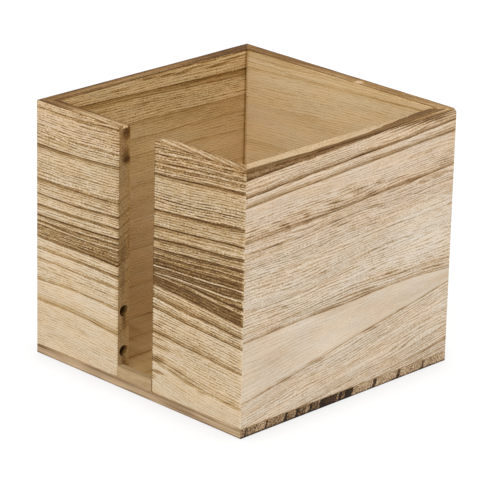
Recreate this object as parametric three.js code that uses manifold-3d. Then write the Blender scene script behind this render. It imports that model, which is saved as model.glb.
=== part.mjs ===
// A small open-topped desk box in solid wood, for a block of note sheets.
// Four walls of thin board meet in mitred corners and stand on a base panel that is flush with them.
// The front wall is two boards with a finger slot between them, open from the rim down to a low sill.
// Steel brads, driven up through the base panel, hold it to the lower edges of the wall boards.
//
// Millimetres, +Z up. The origin is the centre of the underside, and the slotted front faces -Y.

import * as THREE from "three";
import { mergeVertices } from "three/addons/utils/BufferGeometryUtils.js";
import Module from "manifold-3d";

const wasm = await Module();
wasm.setup();

// Overall size, and the stock that the boards are cut from. The right-hand wall's board is the thickest.
const boxWidth = 110;
const boxDepth = 110;
const boxHeight = 101;
const wallThickness = 6;
const rightWallThickness = 6.8;
const baseThickness = 3.6;

// The finger slot in the front wall. It sits a shade to the left of the middle.
const slotWidth = 18.5;
const slotCentreX = -0.9;

// The sill, a low strip across the slot's foot, flush with the front. It keeps the lowest sheets in.
const sillHeight = 4.6;
const sillThickness = 3;
const sillEdgeRadius = 0.4;

// Eased edges: the upright corners, the rim, the slot's arrises and the top corners beside the slot.
const cornerRadius = 0.3;
const rimRadius = 0.4;
const slotEdgeRadius = 0.4;
const slotTopRadius = 0.9;

// The small rounds where walls and base meet, which read as a fine V line, and the base's lower edge.
const jointEdgeRadius = 0.25;
const undersideRadius = 0.4;

// The glue line left between two boards.
const glueLine = 0.1;

// Two blind holes, drilled one above the other into the slot edge of the left-hand front board.
// Their line lies a little to the inside of the board's middle.
const blindHoleDiameter = 4.6;
const blindHoleDepth = 6;
const blindHoleOffset = 0.3;
const blindHolePitch = 16;
const lowestBlindHoleZ = 13.4;
const blindHoleCount = 2;
const drillPointAngle = THREE.MathUtils.degToRad(118);

// The brads, and where they stand along a board: in from a mitred corner, and in from the slot.
const bradLength = 15;
const bradShankDiameter = 1.2;
const bradHeadDiameter = 2.2;
const bradHeadThickness = 0.5;
const bradPointLength = 1.6;
const bradHeadInset = 0.3;
const bradClearance = 0.05;
const bradCornerInset = 15;
const bradSlotInset = 12;

// Facets: steps in an eased edge's quarter round, and sides on a drilled hole and on a brad.
const roundSteps = 5;
const holeSides = 24;
const bradSides = 16;

// How far a cutting solid runs past what it cuts.
const overrun = 2;

// Sizes that follow from the ones above.
const wallFootZ = baseThickness + glueLine;
const wallHeight = boxHeight - wallFootZ;
const slotLeftX = slotCentreX - slotWidth / 2;
const slotRightX = slotCentreX + slotWidth / 2;
const frontLeftLength = slotLeftX + boxWidth / 2;
const frontRightLength = boxWidth / 2 - slotRightX;

// The scorched and brushed wood, board by board, and the brads.
const paleWood = woodMaterial(0xccb79e);
const warmWood = woodMaterial(0xc2a782);
const brownWood = woodMaterial(0xb69a74);
const shadedWood = woodMaterial(0xa1835b);
const bradSteel = new THREE.MeshStandardMaterial({ color: 0x9a9a98, roughness: 0.4, metalness: 1 });

function woodMaterial(color) {
  return new THREE.MeshStandardMaterial({ color, roughness: 0.75, metalness: 0 });
}

// A closed three.js geometry as a solid that can be joined and cut.
function solidOf(geometry) {
  const bare = geometry.clone();
  bare.deleteAttribute("normal");
  bare.deleteAttribute("uv");
  const merged = mergeVertices(bare);
  const mesh = new wasm.Mesh({
    numProp: 3,
    vertProperties: new Float32Array(merged.attributes.position.array),
    triVerts: new Uint32Array(merged.index.array),
  });
  return new wasm.Manifold(mesh);
}

// A solid as a three.js geometry with flat facets.
function geometryOf(solid) {
  const { vertProperties, triVerts } = solid.getMesh();
  const indexed = new THREE.BufferGeometry();
  indexed.setAttribute("position", new THREE.BufferAttribute(vertProperties, 3));
  indexed.setIndex(new THREE.BufferAttribute(triVerts, 1));
  const faceted = indexed.toNonIndexed();
  faceted.computeVertexNormals();
  return faceted;
}

function namedMesh(name, geometry, material) {
  const mesh = new THREE.Mesh(geometry, material);
  mesh.name = name;
  return mesh;
}

// The points of an arc about (x, y), anticlockwise from one angle to another.
function arcPoints(x, y, radius, fromAngle, toAngle) {
  const turn = toAngle - fromAngle;
  return Array.from({ length: roundSteps + 1 }, (_, step) => {
    const angle = fromAngle + (turn * step) / roundSteps;
    return new THREE.Vector2(x + radius * Math.cos(angle), y + radius * Math.sin(angle));
  });
}

// A rectangle from (left, bottom) to (right, top). A corner with a radius is rounded, the others are sharp.
function easedRectangle(left, bottom, right, top, radii) {
  const { bottomLeft = 0, bottomRight = 0, topRight = 0, topLeft = 0 } = radii;
  const corners = [
    [left + bottomLeft, bottom + bottomLeft, bottomLeft, Math.PI],
    [right - bottomRight, bottom + bottomRight, bottomRight, -Math.PI / 2],
    [right - topRight, top - topRight, topRight, 0],
    [left + topLeft, top - topLeft, topLeft, Math.PI / 2],
  ];
  const points = corners.flatMap(([x, y, radius, fromAngle]) =>
    radius > 0 ? arcPoints(x, y, radius, fromAngle, fromAngle + Math.PI / 2) : [new THREE.Vector2(x, y)],
  );
  return new THREE.Shape(points);
}

// A shape drawn in X and Y, carried up from one height to another.
function extrudeUp(shape, fromZ, toZ) {
  return extrusion(shape, toZ - fromZ).translate(0, 0, fromZ);
}

// A shape drawn in Y and Z, carried along X.
function extrudeAlongX(shape, fromX, toX) {
  const axes = [new THREE.Vector3(0, 1, 0), new THREE.Vector3(0, 0, 1), new THREE.Vector3(1, 0, 0)];
  const turned = new THREE.Matrix4().makeBasis(...axes);
  return extrusion(shape, toX - fromX).applyMatrix4(turned).translate(fromX, 0, 0);
}

// A shape drawn in X and Z, carried along Y.
function extrudeAlongY(shape, fromY, toY) {
  const axes = [new THREE.Vector3(1, 0, 0), new THREE.Vector3(0, 0, 1), new THREE.Vector3(0, -1, 0)];
  const turned = new THREE.Matrix4().makeBasis(...axes);
  return extrusion(shape, toY - fromY).applyMatrix4(turned).translate(0, toY, 0);
}

function extrusion(shape, depth) {
  return new THREE.ExtrudeGeometry(shape, { depth, bevelEnabled: false });
}

// A profile of (radius, height) points, turned about Z.
function turned(profile, sides) {
  const points = profile.map(([radius, height]) => new THREE.Vector2(radius, height));
  return new THREE.LatheGeometry(points, sides).rotateX(Math.PI / 2);
}

// ---- The brads ----

// A brad stands point up, with the underside of its head at z = 0. Grown by a clearance all round, and
// open below its head, it is also the hole that the brad is driven into.
function bradProfile(clearance, headOpening) {
  const shankRadius = bradShankDiameter / 2 + clearance;
  const headRadius = bradHeadDiameter / 2 + clearance;
  const headTop = bradHeadThickness + clearance;
  const tip = bradLength + clearance;
  return [
    [0, -headOpening],
    [headRadius, -headOpening],
    [headRadius, headTop],
    [shankRadius, headTop],
    [shankRadius, tip - bradPointLength],
    [0, tip],
  ];
}

function bradSolid() {
  return turned(bradProfile(0, 0), bradSides);
}

// The hole for a brad at (x, y) in a frame whose z = 0 lies at the given height above the underside.
function bradHole(x, y, frameZ) {
  const hole = turned(bradProfile(bradClearance, bradHeadInset + overrun), bradSides);
  return solidOf(hole.translate(x, y, bradHeadInset - frameZ));
}

// ---- The wall boards ----
// A board is made lying in its own frame: its length runs along X about x = 0, its outer face is y = 0,
// its inner face y = its thickness, and its foot z = 0.

// Half of a board's plan, from the outer face round its +X end to the inner face. A mitre runs at 45
// degrees right through the board, so a board that is thicker than its neighbour ends a little past it.
function mitredEnd(length, thickness) {
  const halfGlue = glueLine / 2;
  const glueAngle = Math.asin(halfGlue / cornerRadius);
  const outerRound = arcPoints(
    length / 2 - cornerRadius,
    cornerRadius,
    cornerRadius,
    -Math.PI / 2,
    -Math.PI / 4 - glueAngle,
  );
  const innerX = length / 2 - thickness - halfGlue * Math.SQRT2;
  return [...outerRound, new THREE.Vector2(innerX, thickness)];
}

function slotEnd(length, thickness) {
  const x = length / 2 - slotEdgeRadius;
  return [
    ...arcPoints(x, slotEdgeRadius, slotEdgeRadius, -Math.PI / 2, 0),
    ...arcPoints(x, thickness - slotEdgeRadius, slotEdgeRadius, 0, Math.PI / 2),
  ];
}

// A board's plan, as the outline of its +X end and its -X end turned to the other side.
function boardPlan(length, thickness, plusEnd, minusEnd) {
  const mirrored = minusEnd(length, thickness).map((point) => new THREE.Vector2(-point.x, point.y));
  return new THREE.Shape([...plusEnd(length, thickness), ...mirrored.reverse()]);
}

// A board is what its plan, its end section and its face outline have in common.
function boardSolid({ length, thickness, plusEnd, minusEnd, bradXs, holes = [] }) {
  const plan = boardPlan(length, thickness, plusEnd, minusEnd);
  const section = easedRectangle(0, 0, thickness, wallHeight, {
    bottomLeft: jointEdgeRadius,
    topRight: rimRadius,
    topLeft: rimRadius,
  });
  const face = easedRectangle(-length / 2, 0, length / 2, wallHeight, {
    topRight: plusEnd === slotEnd ? slotTopRadius : 0,
    topLeft: minusEnd === slotEnd ? slotTopRadius : 0,
  });
  const blank = solidOf(extrudeUp(plan, 0, wallHeight))
    .intersect(solidOf(extrudeAlongX(section, -length, length)))
    .intersect(solidOf(extrudeAlongY(face, -overrun, thickness + overrun)));
  const cuts = [...holes, ...bradXs.map((x) => bradHole(x, thickness / 2, wallFootZ))];
  return cuts.reduce((board, cut) => board.subtract(cut), blank);
}

// The two blind holes, each ending in the cone that the drill's point leaves.
function blindHoles(length) {
  const radius = blindHoleDiameter / 2;
  const cone = radius / Math.tan(drillPointAngle / 2);
  const profile = [
    [0, -blindHoleDepth - cone],
    [radius, -blindHoleDepth],
    [radius, overrun],
    [0, overrun],
  ];
  const y = wallThickness / 2 + blindHoleOffset;
  return Array.from({ length: blindHoleCount }, (_, index) => {
    const z = lowestBlindHoleZ + index * blindHolePitch - wallFootZ;
    const hole = turned(profile, holeSides).rotateY(Math.PI / 2);
    return solidOf(hole.translate(length / 2, y, z));
  });
}

// Where the brads stand along a board between two mitred corners: near each corner and at the middle.
function fullBradXs(length) {
  const endX = length / 2 - bradCornerInset;
  return [-endX, 0, endX];
}

// The wall boards: where each one's outer face has its middle, the turn that brings its frame there,
// and what it is cut from. Seen in its own frame, a board's +X end is on the right from outside.
const boards = [
  {
    name: "front_left",
    place: [slotLeftX - frontLeftLength / 2, -boxDepth / 2],
    turn: 0,
    material: warmWood,
    length: frontLeftLength,
    thickness: wallThickness,
    plusEnd: slotEnd,
    minusEnd: mitredEnd,
    bradXs: [bradCornerInset - frontLeftLength / 2, frontLeftLength / 2 - bradSlotInset],
    holes: blindHoles(frontLeftLength),
  },
  {
    name: "front_right",
    place: [slotRightX + frontRightLength / 2, -boxDepth / 2],
    turn: 0,
    material: brownWood,
    length: frontRightLength,
    thickness: wallThickness,
    plusEnd: mitredEnd,
    minusEnd: slotEnd,
    bradXs: [bradSlotInset - frontRightLength / 2, frontRightLength / 2 - bradCornerInset],
  },
  {
    name: "right_side",
    place: [boxWidth / 2, 0],
    turn: Math.PI / 2,
    material: paleWood,
    length: boxDepth,
    thickness: rightWallThickness,
    plusEnd: mitredEnd,
    minusEnd: mitredEnd,
    bradXs: fullBradXs(boxDepth),
  },
  {
    name: "back",
    place: [0, boxDepth / 2],
    turn: Math.PI,
    material: warmWood,
    length: boxWidth,
    thickness: wallThickness,
    plusEnd: mitredEnd,
    minusEnd: mitredEnd,
    bradXs: fullBradXs(boxWidth),
  },
  {
    name: "left_side",
    place: [-boxWidth / 2, 0],
    turn: -Math.PI / 2,
    material: shadedWood,
    length: boxDepth,
    thickness: wallThickness,
    plusEnd: mitredEnd,
    minusEnd: mitredEnd,
    bradXs: fullBradXs(boxDepth),
  },
];

// One wall board with the brads that hold its foot, in a group that carries them to their place.
function wall(board) {
  const group = new THREE.Group();
  group.position.set(...board.place, 0);
  group.rotation.z = board.turn;
  const mesh = namedMesh(`${board.name}_board`, geometryOf(boardSolid(board)), board.material);
  mesh.position.z = wallFootZ;
  group.add(mesh);
  board.bradXs.forEach((x, index) => {
    const brad = namedMesh(`brad_${board.name}_${index + 1}`, bradSolid(), bradSteel);
    brad.position.set(x, board.thickness / 2, bradHeadInset);
    group.add(brad);
  });
  return group;
}

// ---- The sill ----

// The sill stands on the base panel between the slot's two edges, with a glue line to each of them.
function sillSolid() {
  const front = -boxDepth / 2;
  const section = easedRectangle(front, wallFootZ, front + sillThickness, wallFootZ + sillHeight, {
    bottomLeft: jointEdgeRadius,
    topRight: sillEdgeRadius,
    topLeft: sillEdgeRadius,
  });
  return solidOf(extrudeAlongX(section, slotLeftX + glueLine, slotRightX - glueLine));
}

// ---- The base panel ----

// The panel is what its plan and its two side outlines have in common, with a hole for each brad.
function baseSolid() {
  const right = boxWidth / 2;
  const back = boxDepth / 2;
  const edges = {
    bottomLeft: undersideRadius,
    bottomRight: undersideRadius,
    topRight: jointEdgeRadius,
    topLeft: jointEdgeRadius,
  };
  const corners = {
    bottomLeft: cornerRadius,
    bottomRight: cornerRadius,
    topRight: cornerRadius,
    topLeft: cornerRadius,
  };
  const plan = easedRectangle(-right, -back, right, back, corners);
  const endSection = easedRectangle(-back, 0, back, baseThickness, edges);
  const frontSection = easedRectangle(-right, 0, right, baseThickness, edges);
  const blank = solidOf(extrudeUp(plan, 0, baseThickness))
    .intersect(solidOf(extrudeAlongX(endSection, -boxWidth, boxWidth)))
    .intersect(solidOf(extrudeAlongY(frontSection, -boxDepth, boxDepth)));
  return bradPlaces().reduce((panel, { x, y }) => panel.subtract(bradHole(x, y, 0)), blank);
}

// Every brad's place in the box, from its place along its board.
function bradPlaces() {
  return boards.flatMap(({ place, turn, thickness, bradXs }) =>
    bradXs.map((x) => {
      const along = new THREE.Vector2(x, thickness / 2);
      return along.rotateAround(new THREE.Vector2(0, 0), turn).add(new THREE.Vector2(...place));
    }),
  );
}

const box = new THREE.Group();
box.name = "slotted_desk_box";
box.add(namedMesh("base_panel", geometryOf(baseSolid()), paleWood));
boards.forEach((board) => box.add(wall(board)));
box.add(namedMesh("slot_sill", geometryOf(sillSolid()), brownWood));

export default box;
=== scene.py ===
"""The looks of a small slotted desk box in scorched and brushed paulownia wood.

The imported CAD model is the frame, in metres, +Z up, with the slotted front facing -Y. The five wall
boards are made again here as fine surfaces with the wood's brushed relief. The base panel, the sill
and the brads keep their CAD solids and get a finish. Sizes in this file are in millimetres unless a
name or comment says otherwise, and become metres where a mesh, lamp or camera is made.
"""

import logging
import math
from dataclasses import dataclass, field
from enum import Enum
from typing import Any

import bpy
import numpy as np
from bpy.types import Material, Node, NodeSocket, Object
from mathutils import Matrix, Vector


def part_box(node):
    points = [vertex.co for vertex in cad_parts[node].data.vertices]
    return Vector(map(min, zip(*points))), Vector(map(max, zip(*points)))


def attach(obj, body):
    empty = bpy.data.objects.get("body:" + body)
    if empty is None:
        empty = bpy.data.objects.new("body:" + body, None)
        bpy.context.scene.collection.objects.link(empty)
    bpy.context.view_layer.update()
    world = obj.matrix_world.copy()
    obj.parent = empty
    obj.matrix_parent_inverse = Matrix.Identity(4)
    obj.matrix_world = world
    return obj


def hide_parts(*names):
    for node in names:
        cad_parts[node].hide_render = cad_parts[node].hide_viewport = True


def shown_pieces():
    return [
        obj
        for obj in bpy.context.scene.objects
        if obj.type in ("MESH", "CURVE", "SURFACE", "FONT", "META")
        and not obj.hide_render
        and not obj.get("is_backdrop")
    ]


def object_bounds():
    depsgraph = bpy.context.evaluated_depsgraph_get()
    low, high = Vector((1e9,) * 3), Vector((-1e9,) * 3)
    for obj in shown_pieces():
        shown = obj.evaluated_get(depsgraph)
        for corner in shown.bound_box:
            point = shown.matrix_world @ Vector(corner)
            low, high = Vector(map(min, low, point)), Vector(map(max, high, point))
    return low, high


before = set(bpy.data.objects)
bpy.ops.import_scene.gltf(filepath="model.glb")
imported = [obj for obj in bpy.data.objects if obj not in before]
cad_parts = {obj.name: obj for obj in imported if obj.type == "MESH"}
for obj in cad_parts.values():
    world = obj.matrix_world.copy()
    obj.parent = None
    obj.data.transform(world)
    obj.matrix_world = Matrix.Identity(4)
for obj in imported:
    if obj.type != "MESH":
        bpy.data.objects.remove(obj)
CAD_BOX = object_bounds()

log = logging.getLogger("slotted_desk_box")

MM = 0.001  # metres in a millimetre
Array = np.ndarray
Feed = Node | NodeSocket | float  # what can feed a shader's input


# ---- Small helpers ----


def linear(hex_colour: str) -> tuple[float, float, float, float]:
    """Turns an sRGB colour into the linear one that a shader takes.

    Args:
        hex_colour: The colour as six hex digits.

    Returns:
        Linear red, green and blue, and an alpha of 1.
    """
    channels = [int(hex_colour[i : i + 2], 16) / 255 for i in (0, 2, 4)]
    return (*[c / 12.92 if c <= 0.04045 else ((c + 0.055) / 1.055) ** 2.4 for c in channels], 1.0)


def smoothstep(low: float, high: float, x: Array) -> Array:
    """Rises from 0 at low to 1 at high along the cubic 3t^2 - 2t^3."""
    t = np.clip((x - low) / (high - low), 0, 1)
    return t * t * (3 - 2 * t)


def lattice_noise(place: tuple, size: tuple, seed: int) -> Array:
    """Smooth noise from -1 to 1 that depends on nothing but the place and the seed.

    Each corner of the unit lattice has a number hashed from its three indices. A point takes the mix
    of the eight corners round it, weighted by the cubic 3t^2 - 2t^3 along each axis.

    Args:
        place: Three arrays of N distances each.
        size: The lattice's cell along each of the three.
        seed: A whole number that picks one noise among many.

    Returns:
        N values.
    """
    points = np.stack([distance / step for distance, step in zip(place, size)], axis=1)
    cell = np.floor(points).astype(np.int64)
    part = points - cell
    weight = part * part * (3 - 2 * part)
    total = np.zeros(len(points))
    for corner in np.ndindex(2, 2, 2):
        i, j, k = (cell + corner).T.astype(np.uint64)
        mixed = i * np.uint64(374761393) + j * np.uint64(668265263) + k * np.uint64(2147483647)
        mixed = (mixed + np.uint64(seed * 1013904223)) & np.uint64(0xFFFFFFFF)
        for shift, factor in ((13, 1274126177), (15, 2246822519)):
            mixed = ((mixed ^ (mixed >> np.uint64(shift))) * np.uint64(factor)) & np.uint64(0xFFFFFFFF)
        value = mixed / 0xFFFFFFFF * 2 - 1
        total += np.prod(np.where(np.array(corner) == 1, weight, 1 - weight), axis=1) * value
    return total


class Shader:
    """A material, with what adds nodes to its tree."""

    def __init__(self, name: str) -> None:
        """Makes the material with an empty tree.

        Args:
            name: The material's name.
        """
        self.material = bpy.data.materials.new(name)
        self.material.use_nodes = True
        self.tree = self.material.node_tree
        self.tree.nodes.clear()

    def add(self, kind: str, inputs: dict | None = None, **settings: Any) -> Node:
        """Adds a node.

        Args:
            kind: The node's type after "ShaderNode", such as "Math".
            inputs: For an input's name or number, the socket that feeds it, the node whose first
                output feeds it, or the value that it holds.
            **settings: The node's own settings. A colour ramp takes "stops", which are pairs of place
                and colour in order, and may take "ramp", which is how it runs between them.

        Returns:
            The new node.
        """
        node = self.tree.nodes.new("ShaderNode" + kind)
        stops = settings.pop("stops", ())
        if stops:
            node.color_ramp.interpolation = settings.pop("ramp", "LINEAR")
            while len(node.color_ramp.elements) < len(stops):
                node.color_ramp.elements.new(1.0)
            for element, (at, colour) in zip(node.color_ramp.elements, stops):
                element.position, element.color = at, colour
        for name, value in settings.items():
            setattr(node, name, value)
        for key, value in (inputs or {}).items():
            if isinstance(value, Node):
                value = value.outputs[0]
            if isinstance(value, NodeSocket):
                self.tree.links.new(value, node.inputs[key])
            else:
                node.inputs[key].default_value = value
        return node

    def total(self, *pairs: tuple[Feed, Feed]) -> Node:
        """Adds up products.

        Args:
            *pairs: Two factors each.

        Returns:
            The node whose first output is the sum.
        """
        total = 0.0
        for first, second in pairs:
            total = self.add("Math", {0: first, 1: second, 2: total}, operation="MULTIPLY_ADD")
        return total

    def rest(self, share: Feed) -> Node:
        """What is left of 1 beside a share."""
        return self.total((share, -1.0), (1.0, 1.0))

    def noise(self, place: Feed, size: tuple, detail: float = 0.0) -> Node:
        """Adds noise that is stretched along the grain.

        Args:
            place: The place along, across and into the grain, in mm.
            size: The noise's size along those three, in mm.
            detail: How many finer layers it has.

        Returns:
            The noise's node. Its value is about 0.3 to 0.7, with a mean of a half.
        """
        scale = tuple(1 / step for step in size)
        scaled = self.add("VectorMath", {0: place, 1: scale}, operation="MULTIPLY")
        return self.add("TexNoise", {"Vector": scaled, "Scale": 1.0, "Detail": detail})

    def place(self) -> Node:
        """Adds a point's place in its object, in mm."""
        place = self.add("TexCoord").outputs["Object"]
        return self.add("VectorMath", {0: place, 1: (1 / MM,) * 3}, operation="MULTIPLY")

    def dress(self, looks: dict, height: Feed, relief: tuple[float, float]) -> Material:
        """Ends the tree with its surface.

        Args:
            looks: The surface's inputs, by name.
            height: What gives the finest relief, which is about 0 to 1.
            relief: How strongly that relief shows, and its depth in mm, below 0 where it is cut in.

        Returns:
            The material.
        """
        strength, depth = relief
        bump = self.add("Bump", {"Height": height, "Strength": strength, "Distance": depth * MM})
        skin = self.add("BsdfPrincipled", {**looks, "Normal": bump})
        self.add("OutputMaterial", {"Surface": skin})
        return self.material


def surface(name: str, vertices: Array, quads: Array, attributes: dict) -> Object:
    """Makes an object from whole arrays.

    Args:
        name: The object's name.
        vertices: N x 3 places, in metres.
        quads: Rows of four vertex numbers.
        attributes: Values for each vertex, by name: N numbers, or N x 3 for a vector.

    Returns:
        The object, linked to the scene, shaded smooth except over edges of more than 40 degrees.
    """
    mesh = bpy.data.meshes.new(name)
    mesh.vertices.add(len(vertices))
    mesh.vertices.foreach_set("co", vertices.astype(np.float32).ravel())
    mesh.loops.add(quads.size)
    mesh.loops.foreach_set("vertex_index", quads.astype(np.int32).ravel())
    mesh.polygons.add(len(quads))
    mesh.polygons.foreach_set("loop_start", np.arange(0, quads.size, 4, dtype=np.int32))
    mesh.polygons.foreach_set("use_smooth", np.ones(len(quads), bool))
    mesh.update(calc_edges=True)
    for key, values in attributes.items():
        vector = values.ndim == 2
        attribute = mesh.attributes.new(key, "FLOAT_VECTOR" if vector else "FLOAT", "POINT")
        attribute.data.foreach_set("vector" if vector else "value", values.astype(np.float32).ravel())
    mesh.set_sharp_from_angle(angle=math.radians(40))
    mesh.validate()
    made = bpy.data.objects.new(name, mesh)
    bpy.context.scene.collection.objects.link(made)
    return made


# ---- The wood's figure ----


@dataclass(frozen=True)
class Ring:
    """A growth ring as it crosses a board's known face: a dark line, and the wood below it.

    Attributes:
        depths: The line's distances below the rim at even stations from the board's left end, seen
            from outside, to its right end, in mm. A smooth curve joins them.
        line: How dark the line is, from 0 to 1, or how pale where it is below 0.
        fade: How far the line fades on its soft side, in mm.
        tones: How scorched the wood is just under the line and just over the next, from 0 to 1.
        streak: How strongly the brushed furrows show in it.
    """

    depths: tuple[float, ...]
    line: float
    fade: float
    tones: tuple[float, float]
    streak: float

    def depth(self, share: Array) -> Array:
        """The line's distance below the rim: a Catmull-Rom curve through the stations.

        Args:
            share: Shares of the board's length, from 0 to 1.

        Returns:
            The distances, in mm.
        """
        knots = np.array(self.depths)
        padded = np.concatenate([[2 * knots[0] - knots[1]], knots, [2 * knots[-1] - knots[-2]]])
        place = np.clip(share, 0, 1) * (len(knots) - 1)
        first = np.minimum(place.astype(int), len(knots) - 2)
        t = place - first
        a, b, c, d = (padded[first + step] for step in range(4))
        bend = (2 * a - 5 * b + 4 * c - d) * t + (3 * b - 3 * c + d - a) * t**2
        return b + 0.5 * t * ((c - a) + bend)


class Face(Enum):
    """A face of a board that marks lie on."""

    OUTER = "outer"
    INNER = "inner"
    RIM = "rim"
    END = "end"


@dataclass(frozen=True)
class Mark:
    """A soft-edged ellipse of deeper or lighter scorching on one face of a board; one, on the right side's
    near arris, is painted shade.

    Attributes:
        across: Its centre's distance from the board's left end, seen from outside, in mm. On the end
            it is the distance from the outer face.
        down: Its centre's distance below the rim, in mm. On the rim it is the distance from the outer face.
        width: Half its size along the first direction, in mm.
        height: Half its size along the second.
        dark: How much darker it is at its centre, or lighter where it is below 0.
    """

    across: float
    down: float
    width: float
    height: float
    dark: float

    def tone(self, first: Array, second: Array) -> Array:
        """Its tone at points: dark times e^(-r^3), with r the distance to its centre in half sizes."""
        away = ((first - self.across) / self.width) ** 2 + ((second - self.down) / self.height) ** 2
        return self.dark * np.exp(-(away**1.5))


def marks(*rows: tuple[float, float, float, float, float]) -> tuple[Mark, ...]:
    """Makes one face's marks from rows of across, down, width, height and dark."""
    return tuple(Mark(*row) for row in rows)


@dataclass(frozen=True)
class Figure:
    """The growth rings of one board.

    Attributes:
        rings: The rings, from the rim down.
        above: The tone of the wood above the first line.
        tilt: How far the rings rise for each millimetre of depth into the board.
        turnover: The ring number at which the lines' soft side changes from below them to above them.
        seed: Picks the figure's own noise.
        known_depth: The depth below the outer face at which the lines have their stated places, in mm.
        unruly: How strongly noise bends and breaks the furrows, against 1.
        marks: Places on each face that are scorched more or less, and on the right side one of painted
            shade.
    """

    rings: tuple[Ring, ...]
    above: float
    tilt: float
    turnover: float
    seed: int
    known_depth: float = 0.0
    unruly: float = 1.0
    marks: dict[Face, tuple[Mark, ...]] = field(default_factory=dict)

    # Each noise's size along the board, down it and into it, and its strength, in mm or furrows.
    WAVER = ((17, 5, 4), 0.22)  # how a line wavers from its curve
    FINE_WAVER = 0.6, 2.3  # the finer waver's share of that strength, and how many times finer it is
    WANDER = ((20, 4, 5), 0.2)  # how the furrows wander off the lines' course
    BENDING = ((22, 1.8, 3), 0.48)  # how the furrows bend and break, in furrows
    OUTER_GAP = 14.0  # the gap to the ring beyond the first and the last line, in mm
    LEAST_GAP = 0.2  # keeps two lines that cross from making a gap of nothing, in mm
    PITCH = 1.0  # the usual distance between brushed furrows, in mm
    GROOVE_REACH = 0.4  # how far a line's groove reaches on each side, in mm

    def gaps(self) -> Array:
        """The distances between lines at the board's middle, with one more gap at each end."""
        middle = np.array([ring.depths[len(ring.depths) // 2] for ring in self.rings])
        return np.concatenate([[self.OUTER_GAP], np.diff(middle), [self.OUTER_GAP]])

    def ring_and_flow(self, share: Array, down: Array, deep: Array, along: Array) -> tuple[Array, Array]:
        """Where points lie among the rings.

        The ring number is the sum over the gaps of each gap's share that lies above the point. The
        flow is the same sum with each share times its gap at the board's middle.

        Args:
            share: The points' share of the board's length, from 0 to 1.
            down: Their distance below the rim, in mm.
            deep: Their depth below the outer face, in mm.
            along: Their distance along the grain, in mm.

        Returns:
            The ring number, which is whole on a line and runs evenly between lines, and the flow, a
            distance across the grain in mm that follows the lines.
        """
        size, strength = self.WAVER
        fine_share, finer = self.FINE_WAVER
        place = (along, down, deep)
        fine = lattice_noise(place, tuple(step / finer for step in size), self.seed + 1)
        waver = lattice_noise(place, size, self.seed) + fine_share * fine
        level = down + self.tilt * (deep - self.known_depth) + strength * waver
        edges = [ring.depth(share) for ring in self.rings]
        edges = [edges[0] - self.OUTER_GAP, *edges, edges[-1] + self.OUTER_GAP]
        number = np.zeros(len(level))
        flow = np.full(len(level), float(self.gaps()[0]))
        for upper, lower, gap in zip(edges[:-1], edges[1:], self.gaps()):
            part = np.clip((level - upper) / np.maximum(lower - upper, self.LEAST_GAP), 0, 1)
            number += part
            flow += part * gap
        beyond = np.maximum(level - edges[-1], 0) + np.minimum(level - edges[0], 0)
        size, strength = self.WANDER
        wander = lattice_noise((along, flow, deep), size, self.seed + 2)
        # The number stops just short of the last gap's end, so that it never names a gap past it.
        return np.minimum(number, len(edges) - 1.02), flow + beyond + strength * wander

    def furrow_phase(self, along: Array, flow: Array, deep: Array) -> Array:
        """Where points lie among the brushed furrows: the flow over the pitch, with noise added.

        Args:
            along: The points' distances along the grain, in mm.
            flow: Their distances across it that follow the lines, in mm.
            deep: Their depths below the outer face, in mm.

        Returns:
            The phase, in furrows. It is whole at a furrow's floor and halfway between at the ridge.
        """
        size, strength = self.BENDING
        bending = lattice_noise((along, flow, deep), size, self.seed + 3)
        return flow / self.PITCH + strength * self.unruly * bending

    def groove(self, number: Array) -> Array:
        """How deep the brush has cut along the dark lines, as a Gauss curve about each line.

        Args:
            number: Ring numbers.

        Returns:
            A depth from 0 to 1 for each.
        """
        lines = np.array([0.0, *[max(ring.line, 0.0) for ring in self.rings], 0.0])
        nearest = np.clip(np.rint(number).astype(int), 0, len(lines) - 1)
        gap = self.gaps()[np.clip(np.floor(number).astype(int), 0, len(lines) - 2)]
        distance = np.abs(number - nearest) * gap
        return lines[nearest] * np.exp(-((distance / self.GROOVE_REACH) ** 2))

    def marking(self, face: Face, first: Array, second: Array) -> Array:
        """Adds up one face's marks at points, given by their distances in the marks' two directions."""
        return sum((mark.tone(first, second) for mark in self.marks.get(face, ())), np.zeros(len(first)))


# ---- The wall boards' surfaces ----


class End(Enum):
    """How a board ends."""

    MITRE = "mitre"
    SLOT = "slot"


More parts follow.
